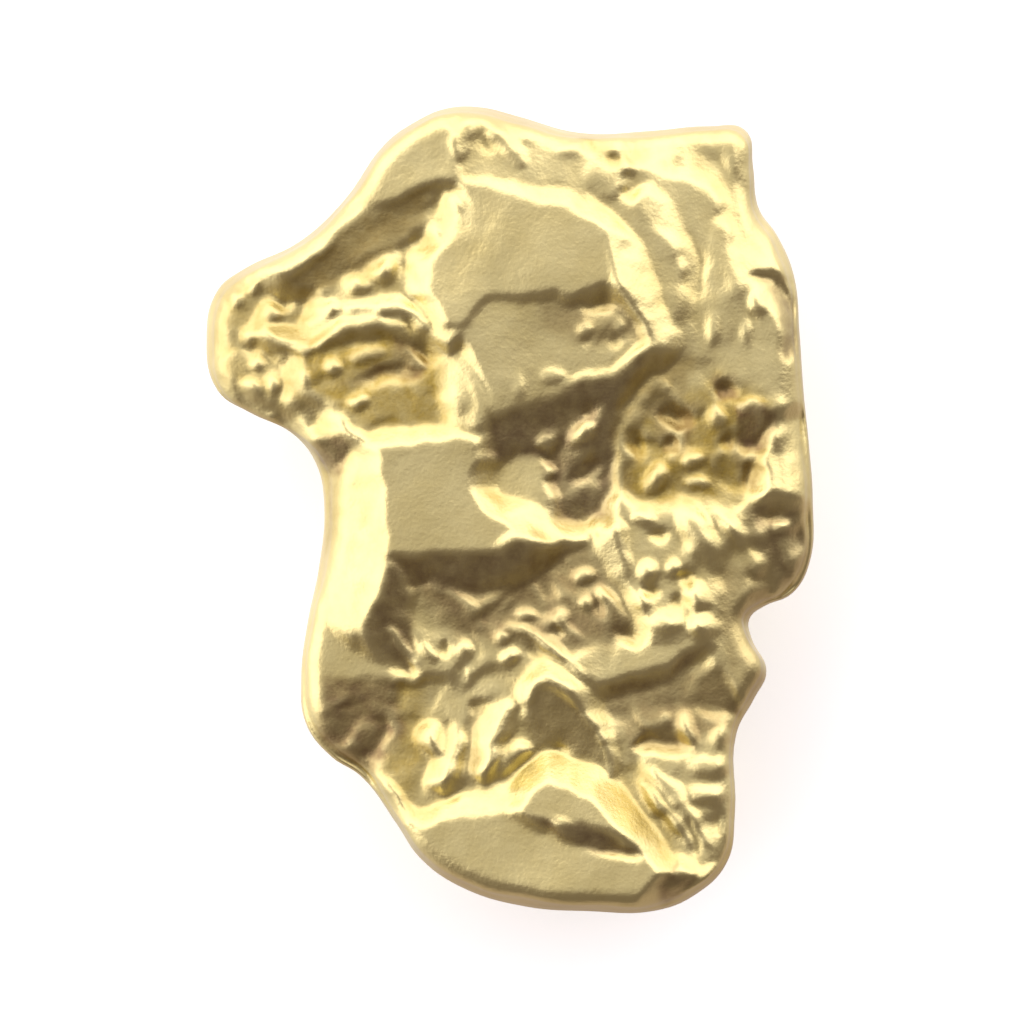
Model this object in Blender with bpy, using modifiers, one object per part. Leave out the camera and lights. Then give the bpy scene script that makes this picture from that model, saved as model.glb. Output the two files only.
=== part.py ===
"""Gold nugget: one water-worn lump of native gold, lying on its broad underside.

Blender works in metres. The tables of the relief are in millimetres, seen from above:
x grows to the right (east), y grows away from the viewer (north), and z is height above
the surface that the nugget lies on.
"""
import math

import bmesh
import bpy
import numpy as np
from mathutils import Vector, noise

MM = 0.001

# Driving dimensions, in millimetres
SLAB_HEIGHT = 5.2        # thickness of the plain lump before the relief is worked into it
EDGE_ROUNDING = 0.3      # radius of the lump's worn edges
BELT_HEIGHT = 2.9        # mean height of the widest level of the sides
BELT_WANDER = 0.5        # how far that level rises and falls round the lump
UPPER_TUCK = 0.12        # how far the sides draw in from the belt to the upper side
LOWER_TUCK = 1.0         # how far they draw in from the belt to the underside
SIDE_REACH = 1.2         # how far in from the sides their dents and tuck are felt
SIDE_LUMPS = 0.3         # depth of the dents of the sides
SIDE_LUMP_SIZES = (2.2, 0.8)
UNDERSIDE_CHIPS = 0.4    # height of the chips of the underside
UNDERSIDE_CHIP_SIZES = (1.2, 0.6)
REST_EDGE = 0.6          # width over which the underside meets the patch that it rests on
REST_FLATNESS = 0.004    # facets lower than this lie flat on the surface
LEAST_GAP = 0.05         # the underside stands at least this high away from that patch
GROUND_REACH = 0.12      # how soon the ground between two flats takes after the nearer
EDGE_WAVER = 0.1         # how far the edges of the flats waver
WAVER_SIZES = (0.8, 0.3)
SWELL = 0.06             # how far the flats swell and dip
SWELL_SIZE = 1.6
RIDGE_UNEVENNESS = 0.45  # how much the ridges swell and thin along their run
RIDGE_SWELL_SIZE = 0.35
RIDGE_END = 0.35         # fullness of a ridge at its ends
CHIP_SHARPNESS = 22.0    # how sharply one chipped face turns into the next
CHIP_FADE = 0.5          # width over which a chipped stretch fades out
STEEPEST = 0.8           # steepest slope that wear leaves on the top
WEAR_PASSES = 120
SOFTEN_PASSES = 1
GRID = 0.05              # spacing of the places at which the top is worked out
GRID_REACH = (6.4, 8.4)  # how far that grid reaches east and north
FAR = 1e9
VOXEL = 0.085            # size of the facets that the relief is worked into
TRIANGLES = 9600         # facets of the finished solid
GOLD_COLOUR = (0.94, 0.79, 0.38, 1.0)
GOLD_ROUGHNESS = 0.32
SEED = 11.0              # picks the lumps of the sides and the underside

# The outline seen from above, as through points of a smooth closed curve
OUTLINE = [
    (6.06, 0.2), (5.98, 1.24), (5.87, 2.3), (5.79, 3.5), (5.68, 4.7), (5.35, 5.5),
    (4.98, 6.05), (4.87, 6.9), (4.72, 7.62), (4.0, 7.7), (2.79, 7.6), (1.4, 7.56),
    (0.1, 7.91), (-0.59, 8.08), (-1.29, 8.06), (-1.93, 7.79), (-2.51, 7.38), (-3.37, 6.21),
    (-4.26, 5.39), (-5.4, 4.82), (-5.9, 4.4), (-6.11, 3.45), (-5.88, 2.38), (-5.25, 1.95),
    (-4.35, 1.5), (-3.9, 0.91), (-3.74, 0.1), (-3.86, -1.24), (-4.06, -2.2), (-4.2, -3.41),
    (-4.1, -4.3), (-3.6, -4.95), (-3.0, -5.35), (-2.28, -6.33), (-1.83, -7.0), (-1.0, -7.6),
    (0.3, -8.0), (1.56, -8.09), (2.9, -8.08), (3.7, -7.76), (4.35, -7.1), (4.51, -6.1),
    (4.54, -4.5), (4.9, -3.8), (5.15, -3.25), (4.85, -2.6), (4.8, -2.2), (5.1, -1.95),
    (5.65, -1.7), (6.0, -1.1),
]

# Flats and slopes, painted in this order: name, height at the middle, rise to the east,
# rise to the north, width of the worn edge, corners
FLATS = [
    ("north shelf", 4.72, -0.1, -0.06, 0.5,
     [(-1.0, 6.5), (-1.2, 8.3), (2.4, 8.0), (2.3, 6.6), (1.9, 6.0), (1.0, 6.0)]),
    ("north east outer", 4.0, -0.1, -0.1, 0.5,
     [(2.4, 7.0), (2.4, 8.0), (5.2, 8.0), (5.6, 6.5), (6.4, 5.5), (6.4, 3.0), (5.6, 3.0),
      (5.5, 4.6), (4.9, 6.0), (4.2, 7.0), (3.2, 7.2)]),
    ("outer band", 4.18, -0.2, -0.2, 0.35,
     [(2.65, 6.85), (3.0, 7.05), (3.6, 7.15), (4.2, 6.95), (4.5, 6.6), (4.9, 6.1),
      (5.5, 5.45), (5.65, 4.7), (5.2, 4.6), (4.8, 4.6), (4.4, 4.3), (4.3, 4.9), (4.3, 5.6),
      (4.0, 5.75), (4.2, 6.1), (3.9, 6.5), (3.45, 6.7), (3.0, 6.7)]),
    ("outer valley", 4.34, -0.03, -0.03, 0.35,
     [(2.3, 6.6), (3.0, 6.7), (3.45, 6.7), (3.9, 6.5), (4.2, 6.1), (4.0, 5.75), (4.3, 5.6),
      (4.3, 4.9), (4.4, 4.3), (3.8, 4.1), (3.85, 4.9), (3.6, 5.5), (3.2, 6.1),
      (2.75, 6.35), (2.3, 6.2)]),
    ("inner band", 4.42, -0.28, -0.1, 0.25,
     [(2.35, 6.1), (2.7, 6.3), (3.15, 6.1), (3.55, 5.5), (3.85, 4.8), (3.85, 4.15),
      (3.5, 4.1), (3.45, 4.85), (3.0, 5.5), (2.6, 5.75)]),
    ("inner valley", 4.5, 0.0, 0.0, 0.3,
     [(1.6, 6.3), (2.3, 6.2), (2.6, 5.75), (3.0, 5.5), (3.45, 4.85), (3.5, 4.15),
      (3.3, 3.5), (2.9, 4.65), (2.3, 5.6)]),
    ("east flat", 4.36, -0.05, 0.0, 0.6,
     [(3.2, 3.3), (3.5, 4.1), (4.2, 4.2), (4.8, 3.8), (5.4, 3.9), (6.2, 3.7), (6.3, 2.2),
      (5.4, 2.3), (4.4, 2.9), (3.4, 3.0)]),
    ("west shoulder", 4.5, 0.3, -0.35, 0.4,
     [(-3.3, 6.4), (-2.8, 6.1), (-3.3, 5.75), (-3.7, 5.2), (-4.3, 4.7), (-4.8, 4.5),
      (-5.6, 4.9), (-4.2, 5.7)]),
    ("shoulder flat", 4.72, 0.09, -0.06, 0.3,
     [(-3.15, 6.0), (-2.9, 6.75), (-2.45, 7.3), (-2.0, 7.55), (-1.3, 7.6), (-1.05, 7.4),
      (-1.05, 6.6), (-1.5, 6.5), (-1.9, 6.35), (-2.5, 6.15)]),
    ("south shoulder", 4.4, 0.08, -0.05, 0.35,
     [(-4.0, 4.35), (-3.0, 4.85), (-2.1, 5.5), (-1.4, 6.2), (-0.8, 5.7), (-1.7, 5.0),
      (-1.7, 4.3), (-1.8, 3.7), (-3.2, 3.7), (-3.9, 3.6)]),
    ("facet west slope", 4.6, 0.35, -0.15, 0.25,
     [(-2.25, 5.3), (-2.1, 4.6), (-2.15, 4.1), (-1.9, 3.6), (-1.5, 3.3), (-1.2, 3.3),
      (-1.4, 4.0), (-1.6, 4.8), (-1.0, 5.4), (-0.7, 5.9), (-1.1, 6.3), (-1.5, 5.9)]),
    ("long groove", 4.5, -0.12, 0.34, 0.15,
     [(-4.9, 4.4), (-4.2, 4.65), (-3.7, 5.15), (-3.25, 5.73), (-2.75, 5.98), (-2.2, 6.15),
      (-1.7, 6.38), (-1.35, 6.3), (-1.7, 5.5), (-2.5, 5.1), (-3.18, 4.7), (-3.98, 4.25),
      (-4.7, 4.2)]),
    ("long groove foot", 4.46, -0.05, 0.18, 0.3,
     [(-3.1, 5.0), (-2.7, 5.5), (-2.0, 5.95), (-1.5, 6.05), (-1.7, 5.5), (-2.5, 5.1)]),
    ("horn", 4.05, 0.1, 0.0, 0.5,
     [(-6.3, 3.0), (-6.2, 4.6), (-5.0, 4.6), (-4.0, 4.2), (-3.6, 3.3), (-3.5, 1.6),
      (-4.6, 1.3), (-5.8, 1.9)]),
    ("basin floor", 4.35, 0.03, 0.02, 0.4,
     [(-4.3, 3.2), (-3.6, 3.4), (-3.0, 3.6), (-2.0, 3.7), (-1.2, 3.5), (-0.6, 2.8),
      (-0.3, 2.2), (-0.3, 1.0), (-1.6, 0.9), (-2.8, 1.1), (-3.6, 1.8), (-4.3, 2.4)]),
    ("basin north wall", 4.52, -0.1, 0.4, 0.15,
     [(-4.95, 3.55), (-4.3, 3.4), (-4.0, 3.3), (-3.6, 3.6), (-3.2, 3.8), (-2.7, 3.85),
      (-2.2, 3.75), (-1.7, 3.3), (-1.4, 2.95), (-1.7, 2.85), (-2.2, 3.2), (-2.7, 3.4),
      (-3.4, 3.3), (-4.1, 3.0), (-4.9, 3.3)]),
    ("basin east wall", 4.55, 0.45, 0.0, 0.25,
     [(-1.5, 3.3), (-1.1, 3.35), (-0.75, 2.95), (-0.5, 2.5), (-0.45, 1.9), (-0.5, 1.5),
      (-1.3, 1.5), (-1.5, 2.2)]),
    ("central facet", 4.85, 0.02, -0.02, 0.3,
     [(-0.95, 6.5), (-0.4, 6.42), (0.34, 6.3), (1.08, 6.15), (1.67, 5.85), (2.04, 5.5),
      (2.1, 4.4), (1.5, 4.2), (0.9, 4.2), (-0.4, 4.25), (-0.9, 3.9), (-1.3, 3.6),
      (-1.55, 3.75), (-1.7, 4.3), (-1.65, 4.9), (-1.4, 5.2), (-0.8, 5.5), (-0.6, 5.9)]),
    ("central facet west part", 4.82, 0.13, -0.1, 0.7,
     [(-1.6, 3.6), (-1.8, 4.9), (-1.2, 5.4), (-0.8, 6.3), (0.0, 6.2), (-0.1, 5.4),
      (-0.5, 4.8), (-0.5, 4.3), (-0.9, 3.9), (-1.3, 3.55)]),
    ("central facet east slope", 4.7, -0.6, -0.2, 0.15,
     [(2.04, 5.6), (2.35, 5.45), (2.6, 5.29), (2.9, 4.55), (3.23, 3.7), (3.4, 3.5),
      (3.16, 3.1), (2.86, 3.4), (2.41, 3.95), (2.12, 4.3), (2.0, 5.1)]),
    ("facet corner slope", 4.62, 0.4, -0.15, 0.25,
     [(-2.05, 4.2), (-1.7, 4.2), (-1.4, 3.65), (-0.95, 3.55), (-1.15, 3.2), (-1.6, 3.4),
      (-2.0, 3.8)]),
    ("second facet", 4.68, 0.0, 0.06, 0.15,
     [(-1.05, 3.6), (-0.6, 3.95), (-0.4, 4.2), (0.9, 4.2), (1.1, 4.0), (1.4, 4.1),
      (1.8, 4.25), (2.2, 4.1), (2.6, 3.6), (2.8, 3.35), (2.5, 3.2), (2.1, 2.8),
      (1.5, 2.75), (1.08, 2.6), (0.75, 2.25), (0.3, 2.1), (0.04, 1.95), (-0.35, 1.8),
      (-0.5, 2.0), (-0.5, 2.5), (-0.8, 3.0)]),
    ("hollow wall", 4.36, -0.1, 0.32, 0.15,
     [(-0.53, 1.05), (-0.46, 1.64), (-0.18, 1.85), (0.45, 2.0), (1.0, 2.48), (1.43, 2.7),
      (2.06, 2.7), (2.48, 3.18), (2.76, 3.35), (3.0, 3.07), (2.55, 2.69), (2.27, 2.2),
      (2.06, 1.57), (1.9, 1.08), (1.87, 0.5), (1.6, 0.2), (1.0, 0.3), (0.75, 0.5),
      (0.87, 0.8), (0.52, 1.08), (0.1, 1.22), (-0.25, 0.94)]),
    ("hollow foot", 3.9, -0.1, 0.32, 0.2,
     [(0.75, 0.5), (1.1, 0.6), (1.6, 0.5), (1.95, 0.5), (2.02, 0.1), (1.9, -0.22),
      (1.65, -0.12), (1.45, -0.3), (1.1, -0.38), (0.85, -0.12)]),
    ("inner lobe", 4.3, 0.05, 0.0, 0.25,
     [(-0.6, 0.2), (-0.5, 0.95), (-0.2, 0.9), (0.1, 1.15), (0.5, 1.05), (0.8, 0.8),
      (0.7, 0.5), (0.9, 0.25), (0.85, -0.2), (0.2, -0.3)]),
    ("third facet", 4.7, 0.0, 0.03, 0.2,
     [(-2.9, 1.35), (-2.8, 0.85), (-2.55, 0.4), (-2.6, -0.15), (-2.4, -0.75), (-1.8, -0.85),
      (-0.6, -0.8), (-0.1, -0.5), (0.1, -0.4), (-0.4, -0.05), (-0.6, 0.3), (-0.5, 0.8),
      (-0.4, 1.0), (-0.5, 1.45), (-1.2, 1.55), (-2.2, 1.45)]),
    ("inner lobe slope", 4.42, -0.3, -0.3, 0.2,
     [(-0.75, 0.55), (-0.5, 0.3), (-0.15, 0.1), (0.2, 0.05), (0.6, 0.1), (0.85, 0.05),
      (0.85, -0.3), (1.25, -0.4), (1.55, -0.45), (1.6, -0.6), (1.1, -0.6), (0.45, -0.5),
      (-0.1, -0.2), (-0.5, 0.15)]),
    ("west slope", 4.4, 0.45, 0.0, 0.2,
     [(-2.95, 1.3), (-2.75, 0.8), (-2.5, 0.35), (-2.55, -0.2), (-2.4, -0.8), (-2.6, -1.3),
      (-2.75, -1.7), (-2.85, -2.1), (-3.15, -2.65), (-3.45, -2.4), (-3.65, -1.7),
      (-3.9, -1.0), (-4.0, 0.0), (-3.2, 1.0)]),
    ("neck notch", 3.95, 0.1, 0.5, 0.12,
     [(-3.8, 1.45), (-3.25, 1.4), (-3.2, 1.0), (-3.45, 0.6), (-3.85, 1.0)]),
    ("west khaki flat", 4.1, 0.0, 0.03, 0.3,
     [(-4.2, -1.6), (-3.7, -1.9), (-3.45, -2.5), (-3.1, -2.6), (-2.7, -3.0), (-2.0, -3.3),
      (-2.7, -3.45), (-3.3, -3.4), (-3.7, -3.7), (-4.3, -3.6)]),
    ("long wall", 4.45, 0.0, 0.6, 0.15,
     [(-2.5, -0.95), (-1.8, -0.95), (-0.9, -0.9), (-0.45, -0.85), (0.0, -0.65),
      (0.35, -0.5), (0.7, -0.7), (0.6, -1.0), (0.3, -1.3), (-0.35, -1.65), (-0.75, -1.95),
      (-1.3, -1.6), (-1.9, -1.6), (-2.3, -1.9)]),
    ("middle basin", 4.16, -0.03, 0.1, 0.4,
     [(-2.3, -1.6), (-1.0, -1.7), (0.0, -1.5), (0.6, -1.0), (1.5, -0.8), (2.1, -1.1),
      (2.6, -2.5), (2.0, -3.0), (1.2, -2.6), (0.3, -2.6), (-1.0, -3.4), (-2.2, -3.3)]),
    ("brown lobe", 4.02, 0.0, 0.3, 0.3,
     [(-1.95, -1.65), (-1.5, -1.5), (-1.1, -1.6), (-0.7, -2.0), (-0.4, -2.4), (-1.0, -2.5),
      (-1.6, -2.45), (-2.0, -2.2)]),
    ("west corner wall", 4.2, -0.4, 0.42, 0.15,
     [(-2.45, -0.95), (-2.6, -1.5), (-2.75, -1.9), (-3.0, -2.6), (-2.7, -2.95),
      (-2.35, -3.25), (-1.9, -3.25), (-2.0, -2.4), (-1.9, -1.65), (-2.1, -1.2)]),
    ("bead field", 4.25, -0.03, 0.03, 0.35,
     [(2.0, 0.1), (3.4, 0.3), (4.3, 0.2), (4.8, -0.4), (4.4, -1.3), (4.0, -2.65),
      (3.4, -2.7), (2.7, -2.6), (2.4, -1.9), (2.1, -1.2), (1.9, -0.8)]),
    ("bead field west slope", 4.2, 0.5, 0.3, 0.15,
     [(1.7, -0.3), (2.2, -0.3), (2.4, -1.5), (2.8, -2.4), (2.65, -2.6), (2.35, -2.2),
      (2.0, -1.4), (1.7, -0.7)]),
    ("basin east diagonal", 4.0, -0.3, 0.4, 0.15,
     [(1.7, -1.6), (1.95, -1.7), (2.3, -2.2), (2.65, -2.65), (2.2, -2.7), (1.8, -2.2)]),
    ("pale facet", 4.15, 0.02, -0.08, 0.2,
     [(1.3, -2.9), (1.9, -2.7), (2.6, -2.65), (3.3, -2.7), (3.9, -2.55), (3.5, -2.95),
      (3.1, -3.25), (2.6, -3.45), (1.8, -3.55)]),
    ("arc wall", 4.0, -0.2, 0.6, 0.12,
     [(3.95, -2.65), (3.5, -2.95), (3.15, -3.2), (2.6, -3.4), (1.8, -3.5), (1.75, -3.75),
      (2.6, -3.65), (3.2, -3.4), (3.7, -3.05), (4.0, -2.8)]),
    ("ground under the arc", 3.85, -0.03, 0.12, 0.3,
     [(1.8, -3.7), (2.6, -3.65), (3.2, -3.4), (3.8, -3.0), (3.7, -4.0), (2.9, -4.3),
      (2.1, -4.9)]),
    ("south east field", 3.85, -0.03, 0.0, 0.4,
     [(1.9, -4.2), (3.2, -4.0), (4.3, -4.0), (4.8, -4.3), (4.8, -7.2), (3.4, -7.4),
      (2.6, -6.6), (1.9, -5.2)]),
    ("heel valley", 3.8, 0.08, 0.0, 0.5,
     [(2.1, -4.7), (2.6, -4.9), (2.75, -5.5), (3.2, -6.2), (3.5, -6.9), (3.2, -7.2),
      (2.7, -6.7), (2.4, -6.1), (2.1, -5.5)]),
    ("dark triangle", 3.7, -0.1, 0.55, 0.12,
     [(2.55, -4.75), (2.75, -4.4), (3.0, -4.15), (3.3, -4.4), (3.55, -4.75)]),
    ("bowl", 4.25, 0.0, 0.03, 0.6,
     [(2.3, 2.0), (2.7, 2.9), (3.4, 3.0), (4.2, 2.8), (5.0, 2.3), (5.3, 1.6), (5.0, 0.5),
      (4.3, 0.0), (3.2, 0.1), (2.5, 0.1), (2.2, 0.8), (2.2, 1.5)]),
    ("bowl low slope", 4.1, -0.1, 0.4, 0.2,
     [(3.9, 1.2), (4.4, 1.1), (4.9, 1.0), (4.9, 0.4), (4.3, 0.4), (3.9, 0.7)]),
    ("east patch", 4.1, -0.3, -0.25, 0.3,
     [(5.0, 0.1), (5.0, 0.9), (5.25, 1.5), (5.4, 2.1), (5.9, 1.9), (6.4, 1.6), (6.4, 0.0),
      (5.7, 0.05)]),
    ("east lobe", 3.8, -0.15, 0.25, 0.4,
     [(4.7, 0.1), (5.8, 0.1), (6.4, -0.2), (6.4, -1.6), (5.6, -2.2), (4.9, -2.0),
      (4.9, -1.0), (4.6, -0.3)]),
    ("east saddle", 4.0, -0.12, 0.02, 0.4,
     [(4.4, -0.7), (5.0, -1.0), (4.9, -1.9), (4.9, -2.9), (4.1, -2.9), (4.1, -1.3)]),
    ("edge bump", 3.95, -0.1, 0.0, 0.4,
     [(4.1, -2.9), (5.4, -2.7), (5.6, -3.5), (4.8, -4.1), (4.4, -3.7)]),
    ("brown slope", 3.82, -0.1, 0.25, 0.3,
     [(3.7, -3.3), (4.2, -3.2), (4.5, -3.6), (4.7, -4.05), (3.9, -4.1), (3.5, -3.9)]),
    ("west lobe face", 3.92, -0.05, 0.2, 0.25,
     [(-3.75, -3.75), (-3.45, -3.45), (-2.9, -3.35), (-2.4, -3.45), (-2.15, -3.9),
      (-2.2, -4.5), (-2.5, -5.0), (-2.9, -5.4), (-3.8, -5.0), (-4.2, -4.4)]),
    ("trough", 4.0, 0.06, 0.03, 0.3,
     [(-2.2, -3.5), (-1.3, -3.4), (0.2, -3.3), (0.4, -4.8), (-0.2, -5.4), (-1.0, -5.75),
      (-1.7, -6.1), (-2.2, -5.9), (-2.7, -5.2), (-2.2, -4.6)]),
    ("west finger", 4.12, 0.4, -0.3, 0.12,
     [(-1.25, -4.2), (-0.95, -4.25), (-0.9, -4.6), (-1.1, -5.1), (-1.3, -5.55), (-1.6, -5.5),
      (-1.45, -5.0), (-1.3, -4.6)]),
    ("middle finger", 4.16, 0.42, -0.25, 0.12,
     [(-0.8, -3.85), (-0.55, -3.8), (-0.4, -3.95), (-0.15, -3.7), (0.05, -3.85),
      (-0.05, -4.4), (-0.25, -4.9), (-0.45, -5.35), (-0.75, -5.3), (-0.6, -4.8),
      (-0.7, -4.3)]),
    ("trough triangle", 4.08, 0.35, -0.3, 0.12,
     [(-1.9, -4.3), (-1.4, -4.25), (-1.4, -4.9), (-1.65, -4.8)]),
    ("dark pit", 4.05, 0.05, 0.3, 0.2,
     [(0.3, -3.7), (0.6, -3.5), (1.1, -3.75), (1.6, -4.2), (1.8, -4.6), (1.8, -5.0),
      (1.4, -5.0), (1.0, -4.75), (0.5, -4.9), (0.2, -4.4)]),
    ("bottom block", 4.27, 0.02, -0.04, 0.25,
     [(-1.9, -6.2), (-1.0, -6.1), (0.1, -6.0), (0.6, -5.2), (1.2, -5.1), (1.7, -5.6),
      (2.7, -6.7), (3.2, -7.2), (4.0, -7.4), (4.6, -7.2), (4.0, -8.3), (0.0, -8.4),
      (-2.0, -7.6), (-2.6, -6.4)]),
    ("arch slope", 4.17, 0.1, -0.45, 0.2,
     [(-1.75, -6.15), (-1.5, -5.95), (-0.9, -5.7), (-0.1, -5.4), (0.4, -5.0), (0.7, -4.85),
      (1.0, -4.8), (1.3, -5.0), (1.9, -5.6), (2.4, -6.3), (2.8, -6.9), (2.4, -6.65),
      (1.9, -6.15), (1.5, -5.6), (1.0, -5.35), (0.5, -5.5), (0.2, -5.9), (-0.2, -6.1)]),
    ("arch flat", 4.46, 0.02, -0.05, 0.2,
     [(0.0, -6.05), (0.15, -5.6), (0.45, -5.2), (0.75, -5.05), (1.15, -5.2), (1.5, -5.5),
      (1.95, -5.9), (2.5, -6.65), (1.6, -6.35), (1.0, -6.2), (0.2, -6.15)]),
    ("dark step", 4.38, -0.05, 0.5, 0.1,
     [(0.2, -6.12), (0.7, -6.15), (1.05, -6.15), (1.5, -6.3), (2.0, -6.5), (2.7, -6.85),
      (2.6, -6.97), (2.0, -6.85), (1.5, -6.75), (1.1, -6.6), (0.8, -6.3), (0.3, -6.22)]),
    ("heel dent", 3.85, -0.1, 0.5, 0.15,
     [(3.0, -7.5), (3.4, -7.15), (3.75, -7.3), (3.7, -7.55), (3.4, -7.8), (3.0, -8.2),
      (2.85, -7.9)]),
]

# Flats of the underside, as FLATS, with heights above the surface that it lies on
UNDER_FLATS = [
    ("horn underside", 1.1, -0.12, 0.05, 0.8,
     [(-6.3, 1.5), (-6.3, 5.0), (-3.6, 5.6), (-3.2, 3.0), (-3.6, 1.2)]),
    ("north underside", 0.7, 0.0, 0.15, 0.6,
     [(-3.0, 5.2), (-2.0, 8.3), (2.0, 8.2), (2.2, 5.6), (0.0, 5.0)]),
    ("north east underside", 0.9, 0.18, 0.1, 0.5,
     [(2.4, 4.6), (2.4, 8.2), (5.4, 8.0), (6.4, 5.0), (5.0, 3.6)]),
    ("east underside", 0.6, 0.2, 0.0, 0.5,
     [(3.8, 3.4), (6.4, 3.4), (6.4, -1.5), (4.0, -1.8)]),
    ("south underside", 0.55, 0.0, -0.12, 0.6,
     [(-1.8, -4.4), (-2.6, -6.0), (0.0, -8.4), (4.6, -7.6), (4.8, -4.0), (1.5, -4.4)]),
    ("west underside", 0.5, -0.2, 0.0, 0.5,
     [(-3.0, 0.0), (-4.4, 0.0), (-4.4, -4.4), (-2.6, -4.6), (-2.6, -2.0)]),
]
REST_PATCH = [(-2.2, -2.6), (-1.9, -1.2), (-2.7, 0.3), (-2.3, 1.9), (-2.4, 3.0),
              (-0.9, 3.3), (0.6, 4.3), (1.7, 3.6), (3.0, 3.3), (3.1, 2.0), (3.7, 0.8),
              (3.0, -0.5), (3.1, -2.2), (2.0, -2.6), (1.0, -3.7), (-0.6, -3.0)]

# Ridges (positive) and grooves (negative): name, height, half width, points
RIDGES = [
    ("hook ridge outer arm", 0.14, 0.28,
     [(-0.55, 7.75), (-0.85, 7.6), (-1.0, 7.35), (-0.95, 6.95), (-0.6, 6.65), (0.1, 6.6)]),
    ("hook ridge inner arm", 0.1, 0.24,
     [(-0.55, 7.75), (-0.25, 7.45), (0.1, 7.0), (0.35, 6.7)]),
    ("dark hook", -0.14, 0.18, [(4.75, 4.6), (5.15, 4.55), (5.45, 4.2), (5.6, 3.9)]),
    ("edge nick", -0.14, 0.14, [(5.5, 3.8), (5.52, 3.1)]),
    ("bowl rim", 0.14, 0.35,
     [(3.05, 3.0), (2.75, 2.5), (2.5, 2.0), (2.3, 1.5), (2.2, 0.8), (2.2, 0.2)]),
    ("basin lip", 0.24, 0.24,
     [(-3.25, 3.95), (-2.8, 3.98), (-2.3, 4.0), (-2.0, 3.9), (-1.65, 3.55)]),
    ("neck ridge", 0.16, 0.18,
     [(-3.75, 1.85), (-3.4, 1.7), (-3.1, 1.45), (-2.8, 1.1)]),
    ("brown lobe rim", 0.05, 0.14,
     [(-1.9, -1.7), (-1.55, -1.52), (-1.1, -1.65), (-0.75, -1.98), (-0.35, -1.75),
      (0.0, -1.55), (0.35, -1.35), (0.6, -1.1)]),
    ("corner ridge", 0.2, 0.15, [(-2.43, -2.37), (-2.2, -2.65), (-1.8, -3.05)]),
    ("basin ridge one", 0.2, 0.17,
     [(-0.1, -2.3), (0.4, -2.5), (0.8, -2.8), (1.14, -3.05), (1.5, -3.45)]),
    ("basin ridge two", 0.24, 0.17,
     [(0.5, -3.3), (1.05, -3.55), (1.45, -3.9), (1.75, -4.25), (1.96, -4.8), (2.0, -5.3)]),
    ("east finger", 0.2, 0.16, [(0.4, -3.35), (0.3, -3.9)]),
    ("edge lip", 0.16, 0.16, [(-2.65, -5.3), (-2.3, -5.75), (-1.92, -6.25)]),
    ("heel ridge", 0.13, 0.18, [(2.55, -5.4), (2.9, -5.8), (3.2, -6.15), (3.7, -6.75)]),
    ("outer heel ridge", 0.13, 0.18, [(2.8, -5.2), (3.2, -5.65), (3.6, -6.2), (3.95, -6.7)]),
    ("heel dash", -0.12, 0.13, [(3.45, -6.2), (3.6, -6.5), (3.75, -6.9)]),
]

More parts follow.
